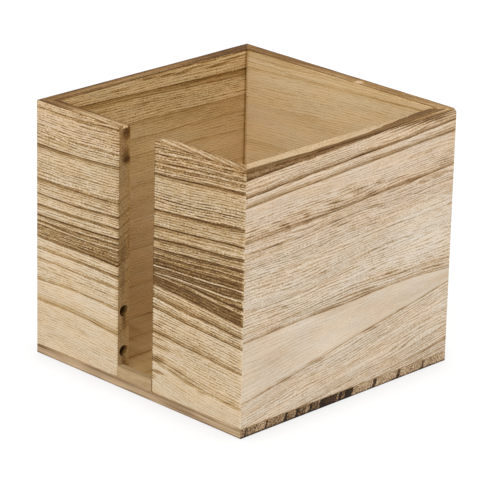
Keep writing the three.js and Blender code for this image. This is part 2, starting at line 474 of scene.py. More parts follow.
@dataclass
class Board:
    """One wall board as a fine closed surface.

    Its own frame has its length along x about 0, its outer face at y = 0 and its foot at z = 0, in mm.

    Attributes:
        node: The CAD node that it stands for.
        length: Its length over the outer corners.
        thickness: Its thickness.
        height: Its height.
        left: How its left end, seen from outside, is cut.
        right: How its right end is cut.
        place: The middle of its outer face's foot, in the box's frame.
        turn: The turn about z that brings its frame into the box's frame, in quarter turns.
        figure: Its growth rings.
        holes: Heights above the foot of the blind holes in its right end.
        worn: Radii to which the top corners at its left and right ends are worn.
    """

    node: str
    length: float
    thickness: float
    height: float
    left: End
    right: End
    place: tuple[float, float, float]
    turn: int
    figure: Figure
    holes: tuple[float, ...] = ()
    worn: tuple[float, float] = (0.0, 0.0)

    CELLS = (1.1, 1.0, 0.31)  # the lattice's usual spacing along the board, through it and up it
    ROUND_STEPS = (1.0, 0.75, 0.5, 0.25)  # lattice lines over a rounded edge, as shares of its radius
    CORNER_RADIUS = 0.3
    RIM_RADIUS = 0.4
    FOOT_RADIUS = 0.25
    SLOT_EDGE_RADIUS = 0.4
    HALF_GLUE = 0.004  # half the glue line, drawn too thin to let light through
    HOLE_RADIUS = 2.2
    HOLE_STEPS = 7
    HOLE_DEPTH = 6.0
    HOLE_OFFSET = 0.3  # how far inside the board's middle the holes are drilled
    HOLE_EASE = 0.6  # how far beyond a hole the lattice bends to it
    DRILL_HALF_ANGLE = math.radians(59)
    GROOVE = 0.16  # the brushed groove along a full-strength ring line
    BRUSHED = 0.07  # the finer brushed furrows between the lines
    SWELL = (8, 1.3, 3)  # how a furrow's depth swells and fades: mm along it, furrows across, mm deep
    CALM_INSIDE = 0.6  # how much shallower the cuts are past a depth of 3 to 5 mm, on the inner face
    HOLE_PAINTED_SHADE = ((0.1, 1.6), 1.2)  # painted shade in a blind hole: the depths over which it darkens, and its darkest tone
    GRAIN_STEP = 37.0  # how far apart the boards lie along one imagined grain, so that no two are alike

    def lattice_lines(self, axis: int, high: float, low: float, fixed: list[float]) -> Array:
        """Lattice lines along one axis: the fixed ones, with even steps of about CELLS between them.

        Args:
            axis: The axis.
            high: The last line.
            low: The first line.
            fixed: Lines that have to be there.

        Returns:
            The lines, in order.
        """
        anchors = np.unique(np.round([low, high, *[x for x in fixed if low < x < high]], 4))
        spans = [
            np.linspace(a, b, max(1, round((b - a) / self.CELLS[axis])), endpoint=False)
            for a, b in zip(anchors[:-1], anchors[1:])
        ]
        return np.concatenate([*spans, [high]])

    def hole_centre(self) -> float:
        """How far below the outer face the blind holes' centres lie."""
        return self.thickness / 2 + self.HOLE_OFFSET

    def hole_lines(self, centre: float, low: float, high: float) -> list[float]:
        """Lines at even steps across a blind hole, and two more on each side within the limits.

        Args:
            centre: The hole's centre.
            low: The lower limit.
            high: The upper limit.

        Returns:
            The lines.
        """
        steps = range(-self.HOLE_STEPS, self.HOLE_STEPS + 1)
        inside = [centre + self.HOLE_RADIUS * i / self.HOLE_STEPS for i in steps]
        down = min(self.HOLE_EASE, inside[0] - low)
        up = min(self.HOLE_EASE, high - inside[-1])
        return [inside[0] - down, inside[0] - down / 2, *inside, inside[-1] + up / 2, inside[-1] + up]

    def lattice_axes(self) -> tuple[Array, Array, Array]:
        """The lattice lines along the board, through it and up it.

        Returns:
            The lines in x, y and z.
        """
        half, rim, foot, t = self.length / 2, self.RIM_RADIUS, self.FOOT_RADIUS, self.thickness
        along = []
        for sign, end, worn in ((-1, self.left, self.worn[0]), (1, self.right, self.worn[1])):
            edge = self.CORNER_RADIUS if end is End.MITRE else self.SLOT_EDGE_RADIUS
            along += [sign * (half - edge * part) for part in self.ROUND_STEPS]
            along += [sign * (half - worn * part) for part in (1.0, 0.8)]
        through = [rim * part for part in (0.33, 0.67, 1.0)]
        through += [t - depth for depth in through]
        upright = [foot / 2, foot, *[self.height - rim * part for part in self.ROUND_STEPS]]
        for height in self.holes:
            upright += self.hole_lines(height, 0, self.height)
        if self.holes:
            edge = self.SLOT_EDGE_RADIUS
            through = [self.unplanned(y) for y in self.hole_lines(self.hole_centre(), edge, t - edge)]
            through += [rim, rim / 2, t - rim / 2]
        return (
            self.lattice_lines(0, half, -half, along),
            self.lattice_lines(1, t, 0, through),
            self.lattice_lines(2, self.height, 0, upright),
        )

    def unplanned(self, y: float) -> float:
        """The lattice depth that the slot's end face shows at depth y."""
        edge = self.SLOT_EDGE_RADIUS
        return (y - edge) * self.thickness / (self.thickness - 2 * edge)

    @staticmethod
    def shell(counts: tuple[int, int, int]) -> tuple[Array, Array]:
        """The outer cells of a lattice block.

        Args:
            counts: How many cells the block has along x, y and z.

        Returns:
            The lattice indices of the shell's vertices, one row each, and its quads, as rows of four
            vertex numbers that run anticlockwise seen from outside.
        """
        stride = np.array([(counts[1] + 1) * (counts[2] + 1), counts[2] + 1, 1])
        quads = []
        for fixed, first, second in ((0, 1, 2), (1, 2, 0), (2, 0, 1)):
            a, b = np.meshgrid(np.arange(counts[first]), np.arange(counts[second]), indexing="ij")
            a, b = a.ravel(), b.ravel()
            steps = ((0, 0), (1, 0), (1, 1), (0, 1))
            loop = [(a + da) * stride[first] + (b + db) * stride[second] for da, db in steps]
            quads += [np.stack(loop, axis=1) + counts[fixed] * stride[fixed], np.stack(loop[::-1], axis=1)]
        used, numbered = np.unique(np.concatenate(quads), return_inverse=True)
        indices = np.stack([used // stride[0], used % stride[0] // stride[1], used % stride[1]], axis=1)
        return indices, numbered.reshape(-1, 4)

    def eased_section(self, y: Array, z: Array) -> tuple[Array, ...]:
        """Rounds the long edges.

        A point is drawn to the rectangle inset by the edge's radius, and then pushed out from its
        nearest place there by that radius. What it is pushed along is the surface's normal.

        Args:
            y: Depths below the outer face.
            z: Heights above the foot.

        Returns:
            The rounded depths and heights, and the normal's y and z.
        """
        place = np.stack([y, z])
        radius = np.where(z > self.height / 2, self.RIM_RADIUS, self.FOOT_RADIUS)
        core = np.clip(place, radius, np.array([[self.thickness], [self.height]]) - radius)
        size = np.hypot(*(place - core))
        on_skin = size > 1e-9
        out = np.where(on_skin, (place - core) / np.where(on_skin, size, 1), 0)
        return (*np.where(on_skin, core + radius * out, place), *out)

    def planned(self, x: Array, y: Array) -> tuple[Array, Array]:
        """Cuts the ends: brings points to the board's plan.

        The plan is ruled between an outer and an inner outline. At a mitre the outer outline turns
        through an eighth of a circle and the inner one ends short by the thickness, and at the slot
        both turn through a quarter circle.

        Args:
            x: Places along the board, from -length / 2 to length / 2.
            y: Depths below the outer face.

        Returns:
            The places and depths in the plan.
        """
        half, t = self.length / 2, self.thickness
        outer_x, outer_y = x.copy(), np.zeros_like(x)
        inner_x, inner_y = x.copy(), np.full_like(x, t)
        for sign, end in ((-1, self.left), (1, self.right)):
            mitred = end is End.MITRE
            radius = self.CORNER_RADIUS if mitred else self.SLOT_EDGE_RADIUS
            full = math.pi / 4 - self.HALF_GLUE / radius if mitred else math.pi / 2
            run = sign * x
            angle = np.clip((run - half + radius) / radius, 0, 1) * full
            turned = sign * (half - radius + radius * np.sin(angle))
            outer_x = np.where(angle > 0, turned, outer_x)
            outer_y = np.where(angle > 0, radius * (1 - np.cos(angle)), outer_y)
            if mitred:
                inner_x = inner_x - sign * (t + self.HALF_GLUE * math.sqrt(2)) * np.clip(run / half, 0, 1)
            else:
                inner_x = np.where(angle > 0, turned, inner_x)
                inner_y = np.where(angle > 0, t - radius * (1 - np.cos(angle)), inner_y)
        share = y / t
        return outer_x + (inner_x - outer_x) * share, outer_y + (inner_y - outer_y) * share

    def worn_corners(self, x: Array, z: Array) -> Array:
        """Rounds the top corners at the ends: heights sink there along a quarter circle.

        Args:
            x: Places along the board.
            z: Heights above the foot.

        Returns:
            The lowered heights.
        """
        for sign, radius in zip((-1, 1), self.worn):
            past = np.clip(sign * x - self.length / 2 + radius, 0, radius)
            sink = radius - np.sqrt(radius**2 - past**2)
            # The sinking dies away down to three radii below the rim, or a tenth of 1 mm where unworn.
            z = z - sink * smoothstep(self.height - 3 * radius - 0.1, self.height, z)
        return z

    def drill(self, index: Array, axes: tuple, points: Array) -> Array:
        """Sinks the blind holes into the right end.

        About each hole's centre the lattice's nested squares become circles: a vertex keeps its
        direction, and its ring, which is its greater step along y or z, becomes its distance. Rings
        within the hole's own go down to the drill's cone, and two beyond it ease back to the lattice.

        Args:
            index: The vertices' lattice indices.
            axes: The lattice lines.
            points: The vertices' places.

        Returns:
            The places, with the holes in them.
        """
        at_end = index[:, 0] == len(axes[0]) - 1
        middle = int(np.argmin(abs(axes[1] - self.unplanned(self.hole_centre()))))
        for height in self.holes:
            steps = index[:, 1:] - np.array([middle, int(np.argmin(abs(axes[2] - height)))])
            ring = abs(steps).max(axis=1)
            angle = np.arctan2(steps[:, 1], steps[:, 0])
            ease = np.clip((ring - self.HOLE_STEPS) / 2, 0, 1)
            near = at_end & (ease < 1)
            inside = near & (ring < self.HOLE_STEPS)
            size = self.HOLE_RADIUS * np.clip(ring / (self.HOLE_STEPS - inside), 0, 1)
            round_y = self.hole_centre() + size * np.cos(angle)
            round_z = height + size * np.sin(angle)
            sunk = self.HOLE_DEPTH + (self.HOLE_RADIUS - size) / math.tan(self.DRILL_HALF_ANGLE)
            x, y, z = points.T
            x = np.where(inside, x - sunk, x)
            y = np.where(near, ease * y + (1 - ease) * round_y, y)
            z = np.where(near, ease * z + (1 - ease) * round_z, z)
            points = np.stack([x, y, z], axis=1)
        return points

    def relief(self, number: Array, along: Array, phase: Array, deep: Array) -> Array:
        """How deep the wire brush has cut, in mm: grooves on the ring lines and fine furrows between.

        The furrows' profile is a cosine of their phase about a half. Its height is 0.35, and up to 0.3
        more or less where noise makes a furrow swell or fade.

        Args:
            number: Ring numbers.
            along: Distances along the grain.
            phase: The furrows' phase.
            deep: Depths below the outer face.

        Returns:
            The depth at each point, never below 0.
        """
        swell = lattice_noise((along, phase, deep), self.SWELL, self.figure.seed + 10)
        fine = np.clip(0.5 + (0.35 + 0.3 * swell) * np.cos(2 * math.pi * phase), 0, 1)
        calm = 1 - self.CALM_INSIDE * smoothstep(3, 5, deep)
        return calm * (self.GROOVE * self.figure.groove(number) + self.BRUSHED * fine)

    def build(self) -> Object:
        """Makes the board's mesh, with what its finish reads as attributes on its vertices.

        The attribute "ring" holds the ring number, and "furrow" the furrows' phase. "grain" holds the
        distances along the grain, across it following the rings, and into the board, in mm.
        "wear" holds how far a point is end grain, how far it is on the rim, and the tone that
        marks and the painted shade in the blind holes add.

        Returns:
            The object, in the box's frame.
        """
        axes = self.lattice_axes()
        index, quads = self.shell(tuple(len(axis) - 1 for axis in axes))
        x, y, z = (axis[index[:, n]] for n, axis in enumerate(axes))
        left_cut = (index[:, 0] == 0) & (self.left is End.SLOT)
        right_cut = (index[:, 0] == len(axes[0]) - 1) & (self.right is End.SLOT)
        cut_end = left_cut | right_cut
        y, z, out_y, out_z = self.eased_section(y, z)
        run = x
        x, y = self.planned(x, y)
        x, y, z = self.drill(index, axes, np.stack([x, y, z], axis=1)).T
        z = self.worn_corners(run, z)
        share = x / self.length + 0.5
        along = x + self.figure.seed * self.GRAIN_STEP
        down = self.height - z
        number, flow = self.figure.ring_and_flow(share, down, y, along)
        phase = self.figure.furrow_phase(along, flow, y)
        cut = self.relief(number, along, phase, y) * ~cut_end
        local = np.stack([x, y - cut * out_y, z - cut * out_z], axis=1)
        # A face's marks fade over its rounded edges, by how far the normal there leans towards the face.
        rim = smoothstep(0.5, 0.95, out_z)
        outer, inner = (smoothstep(0.5, 0.9, lean) for lean in (-out_y, out_y))
        from_left = x + self.length / 2
        tone = self.figure.marking(Face.OUTER, from_left, down) * outer
        tone += self.figure.marking(Face.INNER, from_left, down) * inner
        tone += self.figure.marking(Face.RIM, from_left, y) * rim
        tone += self.figure.marking(Face.END, y, down) * cut_end
        # Painted shade inside the blind holes: the end grain darkens with depth into each hole.
        reach, darkest = self.HOLE_PAINTED_SHADE
        tone += darkest * cut_end * smoothstep(*reach, self.length / 2 - abs(x))
        turned = local @ self.quarter_turns().T + np.array(self.place)
        attributes = {
            "ring": number,
            "furrow": phase,
            "grain": np.stack([along, flow, y], axis=1),
            "wear": np.stack([cut_end.astype(float), rim, tone], axis=1),
        }
        return surface(self.node.replace("_board", "_wall"), turned * MM, quads, attributes)

    def quarter_turns(self) -> Array:
        """The matrix of the board's quarter turns about z, in whole numbers."""
        cosine, sine = ((1, 0), (0, 1), (-1, 0), (0, -1))[self.turn % 4]
        return np.array([[cosine, -sine, 0], [sine, cosine, 0], [0, 0, 1]], float)


# ---- Finishes ----

# Colours from unscorched wood to char, each with the scorch at which it stands: the fronts, left and
# back are tan outside, the right side is paler, every inner face is golden, and end grain chars most.
# The golden scale is partly the wood's own colour and partly painted warm light bounced inside the box.
WARM_SCALE = (
    (0.0, "DCC9AE"), (0.1, "CEBA9B"), (0.2, "C2A77E"), (0.3, "B19468"), (0.4, "A28459"),
    (0.53, "8E7047"), (0.67, "7B5C35"), (0.8, "694B27"), (1.0, "50361B"),
)
PALE_SCALE = (
    (0.0, "E3D7C5"), (0.1, "D8C7B1"), (0.2, "C8B397"), (0.3, "B69D7C"), (0.4, "A48A69"),
    (0.53, "8F7350"), (0.67, "7A5E3D"), (0.8, "694B28"), (1.0, "50361B"),
)
GOLDEN_SCALE = (
    (0.0, "E6CDA2"), (0.1, "DABE8E"), (0.2, "CCAD79"), (0.3, "BC9B67"), (0.4, "A9854E"),
    (0.53, "936E3C"), (0.67, "7C5A2A"), (0.8, "664820"), (1.0, "4E3212"),
)
END_SCALE = (
    (0.0, "DCC6A8"), (0.2, "C5AB8A"), (0.4, "9B8061"), (0.6, "705438"), (0.8, "473220"), (1.0, "24180F"),
)


def colours(scale: tuple[tuple[float, str], ...]) -> list[tuple[float, tuple]]:
    """A scale's stops for a colour ramp, with each hex colour made linear."""
    return [(at, linear(shade)) for at, shade in scale]


@dataclass(frozen=True)
class ScorchedPaulownia:
    """Paulownia board, scorched with a flame and wire-brushed, unvarnished.

    The flame browns the soft early wood more than the late wood, so the rings show as dark lines
    that fade on one side, over a pale ground crossed by fine brushed furrows. Brushing leaves it matt.

    Attributes:
        name: The material's name.
        figure: The board's growth rings.
        outside: The colours of the outer face.
        inside: The colours of the inner face.
        end_tone: How much darker end grain is.
        calm_inside: How strongly furrows show on the inner face, against 1 on the outer one.
        golden_rim: The inner face's share in the rim's colour.
        bold_outside: How much bolder the rings are on the outer face than the figure states.
        warm_depth: How far below the rim the flame has yellowed the outer face, in mm.
    """

    name: str
    figure: Figure
    outside: tuple[tuple[float, str], ...] = WARM_SCALE
    inside: tuple[tuple[float, str], ...] = GOLDEN_SCALE
    end_tone: float = 0.36
    calm_inside: float = 0.5
    golden_rim: float = 0.0
    bold_outside: float = 0.0
    warm_depth: float = 14.0

    # The pattern's scale: the length, width and depth of each kind of streak, in mm. Brushed furrows
    # lie about 1 mm apart, and the pores of paulownia are about 0.25 mm wide.
    SWELL = (5.0, 0.9, 1.5)  # where a furrow swells and fades
    HAIR = (4.5, 0.32, 0.5)  # torn fibres
    FLECK = (1.0, 0.28, 0.5)  # short flecks
    PORE = (2.4, 0.3, 0.4)  # open pores
    CLOUD = (30.0, 7.0, 8.0)  # broad patches that the flame took more or less
    BLUSH = (20.0, 6.0, 6.0)  # patches that are redder or greyer
    BREAK = (8.0, 1.1, 3.0)  # where lines and marks break up
    SPECKLE = (0.5, 0.5, 0.5)  # specks on end grain and the rim
    # Limits between which a noise, a wave or a depth in mm is spread.
    SWELLING = {"From Min": 0.36, "From Max": 0.64, "To Min": 0.38, "To Max": 1.08}
    HOLLOW = {"From Min": -0.4, "From Max": 1.0}
    OPEN_PORE = {"From Min": 0.6, "From Max": 0.7}
    BREAKING = {"From Min": 0.3, "From Max": 0.65, "To Min": 0.5, "To Max": 1.2}
    INNER_HALF = {"From Min": 3.0, "From Max": 5.5}
    # How much of each goes into the scorch.
    FURROW_SHARES = (0.75, 0.75, 1.35, 0.12)  # waves, hairs, flecks and pores in the furrows
    FURROW_MEAN = 1.24  # what these add up to on average
    CLOUD_SHARE = 0.2
    RIM_SPECKS = 0.7  # how strongly the rim is specked, against 1 on end grain
    # The colours' drift: the blush's two ends, and the yellowing by the share of its depth from the rim.
    BLUSH_TINT = ((0.38, (1.02, 0.985, 0.945, 1.0)), (0.62, (0.99, 1.0, 1.025, 1.0)))
    TOP_TINT = (
        (0.0, (1.0, 0.91, 0.8, 1.0)), (0.22, (1.0, 0.95, 0.9, 1.0)),
        (0.72, (1.0, 0.96, 0.925, 1.0)), (0.92, (1.0, 1.0, 1.0, 1.0)),
    )
    LONGEST_FADE = 4.0  # the fade that the ring table holds as 1, in mm
    WIDEST = 20.0  # the gap between rings that it holds as 1, in mm
    SHARP_SIDE = 0.25  # how far a ring line reaches on its sharp side, in mm
    RELIEF = (0.35, -0.15)  # how strongly the furrows' finest relief shows, and its depth in mm
    ROUGHNESS = 0.74
    SPECULAR = 0.15

    def stepped(self, shader: Shader, number: Feed, rows: list[tuple]) -> Node:
        """Looks up a row of values for the gap that a point lies in.

        Args:
            shader: The material's shader.
            number: The ring number.
            rows: Four values from 0 to 1 for each gap.

        Returns:
            The ramp whose colour and alpha hold the four.
        """
        whole = shader.add("Math", {0: number}, operation="FLOOR")
        place = shader.total((whole, 1 / len(rows)), (0.5, 1 / len(rows)))
        stops = [(i / len(rows), row) for i, row in enumerate(rows)]
        return shader.add("ValToRGB", {"Fac": place}, stops=stops, ramp="CONSTANT")

    def side(self, shader: Shader, distance: Feed, strength: Feed, reach: Feed) -> Node:
        """A line's darkness on one of its sides, which dies away and then runs a little below nothing.

        It is the strength times 1.4 e^(-distance / reach) - 0.4 e^(-distance / (3 reach)), since the
        brush has bared the wood beside a line.

        Args:
            shader: The material's shader.
            distance: The distance to the line, in mm.
            strength: The line's strength.
            reach: How far it fades on this side, in mm.

        Returns:
            The node that holds it.
        """
        ratio = shader.add("Math", {0: distance, 1: reach}, operation="DIVIDE")
        rates = [shader.total((ratio, rate)) for rate in (-1.0, -1 / 3)]
        near, far = (shader.add("Math", {0: rate}, operation="EXPONENT") for rate in rates)
        return shader.total((shader.total((near, 1.4), (far, -0.4)), strength))

    def ring_lines(self, shader: Shader, number: Feed, part: Feed) -> Node:
        """The darkness of the ring lines.

        Args:
            shader: The material's shader.
            number: The ring number.
            part: Its fraction.

        Returns:
            The node that holds the sum of the line above and the line below.
        """
        rings = self.figure.rings
        lines = [0.0, *[ring.line for ring in rings], 0.0]
        fades = [1.0, *[ring.fade for ring in rings], 1.0]
        rows = []
        for i, gap in enumerate(self.figure.gaps()):
            fade = fades[i] if i < self.figure.turnover else fades[i + 1]
            size = min(float(gap) / self.WIDEST, 1.0)
            rows.append((0.5 + lines[i] / 2, 0.5 + lines[i + 1] / 2, size, fade / self.LONGEST_FADE))
        table = self.stepped(shader, number, rows)
        over, under, size = shader.add("SeparateColor", {"Color": table}).outputs
        fade = shader.total((table.outputs["Alpha"], self.LONGEST_FADE))
        upper = shader.add("Math", {0: number, 1: self.figure.turnover}, operation="LESS_THAN")
        gap = shader.total((size, self.WIDEST))
        to_over = shader.total((part, gap))
        to_under = shader.total((gap, 1.0), (to_over, -1.0))
        # Above the turnover lines fade downwards, and below it upwards.
        downwards = (over, to_over, {2: self.SHARP_SIDE, 3: fade})
        upwards = (under, to_under, {2: fade, 3: self.SHARP_SIDE})
        sides = []
        for held, distance, reaches in (downwards, upwards):
            reach = shader.add("Mix", {0: upper, **reaches})
            strength = shader.total((held, 2.0), (1.0, -1.0))
            sides.append((self.side(shader, distance, strength, reach), 1.0))
        return shader.total(*sides)

    def ground(self, shader: Shader, number: Feed, part: Feed) -> tuple:
        """The wood between the ring lines.

        Args:
            shader: The material's shader.
            number: The ring number.
            part: Its fraction.

        Returns:
            The node that holds its tone, and the socket that holds how strongly the furrows show in it.
        """
        rings = self.figure.rings
        rows = [(self.figure.above, self.figure.above, rings[0].streak, 1.0)]
        rows += [(*ring.tones, ring.streak, 1.0) for ring in rings]
        table = self.stepped(shader, number, rows)
        top, bottom, streak = shader.add("SeparateColor", {"Color": table}).outputs
        return shader.add("Mix", {0: part, 2: top, 3: bottom}), streak

    def furrows(self, shader: Shader, grain: Feed) -> tuple:
        """The brushed furrows: swelling waves, torn fibres, flecks and pores.

        Args:
            shader: The material's shader.
            grain: The place along, across and into the grain, in mm.

        Returns:
            The node that holds the furrows, above 0 in one and below 0 beside it, and the node that
            holds how far a point is in a wave's hollow, from 0 to 1.
        """
        phase = shader.add("Attribute", attribute_name="furrow").outputs["Fac"]
        turn = shader.total((phase, 2 * math.pi))
        wave = shader.add("Math", {0: turn}, operation="COSINE")
        limits = {"Value": wave, **self.HOLLOW}
        hollow = shader.add("MapRange", limits, interpolation_type="SMOOTHSTEP")
        sizes = (self.SWELL, self.HAIR, self.FLECK, self.PORE)
        swell, hair, fleck, pore = (shader.noise(grain, size) for size in sizes)
        swell = shader.add("MapRange", {"Value": swell, **self.SWELLING})
        pore = shader.add("MapRange", {"Value": pore, **self.OPEN_PORE})
        waves = shader.total((hollow, swell))
        shares = zip((waves, hair, fleck, pore), self.FURROW_SHARES)
        return shader.total(*shares, (1.0, -self.FURROW_MEAN)), hollow

    def scorch(self, shader: Shader, number: Feed, grain: Feed, wear: Feed, inside: Feed) -> tuple:
        """How scorched the wood is.

        Args:
            shader: The material's shader.
            number: The ring number.
            grain: The place along, across and into the grain, in mm.
            wear: How far the point is end grain and rim, and the tone of its marks and painted shade.
            inside: 1 on the inner face and 0 on the outer one.

        Returns:
            The node that holds the scorch from 0 to 1, and the one that holds the furrows.
        """
        end, rim, mark = shader.add("SeparateXYZ", {0: wear}).outputs
        part = shader.add("Math", {0: number}, operation="FRACT")
        tone, streak = self.ground(shader, number, part)
        lines = self.ring_lines(shader, number, part)
        furrows, hollow = self.furrows(shader, grain)
        cloud = shader.noise(grain, self.CLOUD, 1.0)
        speckle = shader.total((shader.noise(grain, self.SPECKLE), 0.5), (1.0, -0.25))
        broken = shader.noise(grain, self.BREAK)
        broken = shader.add("MapRange", {"Value": broken, **self.BREAKING})

        # The outer face is rough from the brush, and on some boards its rings are bolder.
        rough = shader.total((shader.rest(rim), shader.rest(inside)))
        bold = shader.total((rough, self.bold_outside))
        # Furrows show less on the inner face, on end grain and on the rim.
        calm = ((inside, self.calm_inside - 1.0), (end, -0.8), (rim, -0.4), (bold, 0.3))
        strength = shader.total((streak, shader.total(*calm, (1.0, 1.0))))
        # So do the growth rings on end grain and on the rim. Their lines break up along the grain.
        face = shader.total((end, -0.75), (1.0, 1.0))
        line_share = shader.total((face, 1.0), (rim, -0.5), (bold, 1.0))
        line_break = shader.total((broken, 0.35), (1.0, 0.62))
        # Marks break up along the furrows on the rough face, and lie evenly elsewhere.
        mark_break = shader.total((broken, 0.6), (hollow, 0.75), (1.0, -0.9))
        scorched = shader.total(
            (tone, face),
            (furrows, strength),
            (cloud, self.CLOUD_SHARE),
            (1.0, -self.CLOUD_SHARE / 2),
            # The marks' tone also holds painted shade: in the blind holes and along the right side's near
            # arris.
            (mark, shader.total((mark_break, rough), (1.0, 0.9))),
            (lines, shader.total((line_break, line_share))),
            (bold, 0.06),
            (end, self.end_tone),
            (shader.total((end, 1.0), (rim, self.RIM_SPECKS)), speckle),
        )
        return scorched, furrows

    def tinted(self, shader: Shader, grain: Feed, inside: Feed, scorched: Feed) -> NodeSocket:
        """The wood's colour: its scale's at the scorch, then blushed, and yellowed near the rim.

        Args:
            shader: The material's shader.
            grain: The place along, across and into the grain, in mm.
            inside: 1 on the inner face and 0 on the outer one.
            scorched: The scorch, from 0 to 1.

        Returns:
            The socket that holds the colour.
        """
        outer = shader.add("ValToRGB", {"Fac": scorched}, stops=colours(self.outside))
        inner = shader.add("ValToRGB", {"Fac": scorched}, stops=colours(self.inside))
        colour = shader.add("Mix", {0: inside, 6: outer, 7: inner}, data_type="RGBA")
        patches = shader.noise(grain, self.BLUSH, 1.0)
        blush = shader.add("ValToRGB", {"Fac": patches}, stops=self.BLUSH_TINT)
        height = shader.add("SeparateXYZ", {0: shader.place()}).outputs[2]
        top = CAD_BOX[1][2] / MM
        down = shader.total((height, -1 / self.warm_depth), (1.0, top / self.warm_depth))
        yellow = shader.add("ValToRGB", {"Fac": down}, stops=self.TOP_TINT)
        for share, tint in ((1.0, blush), (shader.rest(inside), yellow)):
            inputs = {0: share, 6: colour.outputs[2], 7: tint}
            colour = shader.add("Mix", inputs, data_type="RGBA", blend_type="MULTIPLY")
        return colour.outputs[2]

    def material(self) -> Material:
        """Makes the material.

        Returns:
            The material, which reads the attributes "ring", "furrow", "grain" and "wear".
        """
        shader = Shader(self.name)
        number = shader.add("Attribute", attribute_name="ring").outputs["Fac"]
        grain = shader.add("Attribute", attribute_name="grain").outputs["Vector"]
        wear = shader.add("Attribute", attribute_name="wear").outputs["Vector"]
        deep = shader.add("SeparateXYZ", {0: grain}).outputs[2]
        rim = shader.add("SeparateXYZ", {0: wear}).outputs[1]
        inside = shader.add("MapRange", {"Value": deep, **self.INNER_HALF})
        inside = shader.total((inside, shader.rest(rim)), (rim, self.golden_rim))
        scorched, furrows = self.scorch(shader, number, grain, wear, inside)
        colour = self.tinted(shader, grain, inside, scorched)
        looks = {"Base Color": colour, "Roughness": self.ROUGHNESS, "Specular IOR Level": self.SPECULAR}
        return shader.dress(looks, furrows, self.RELIEF)


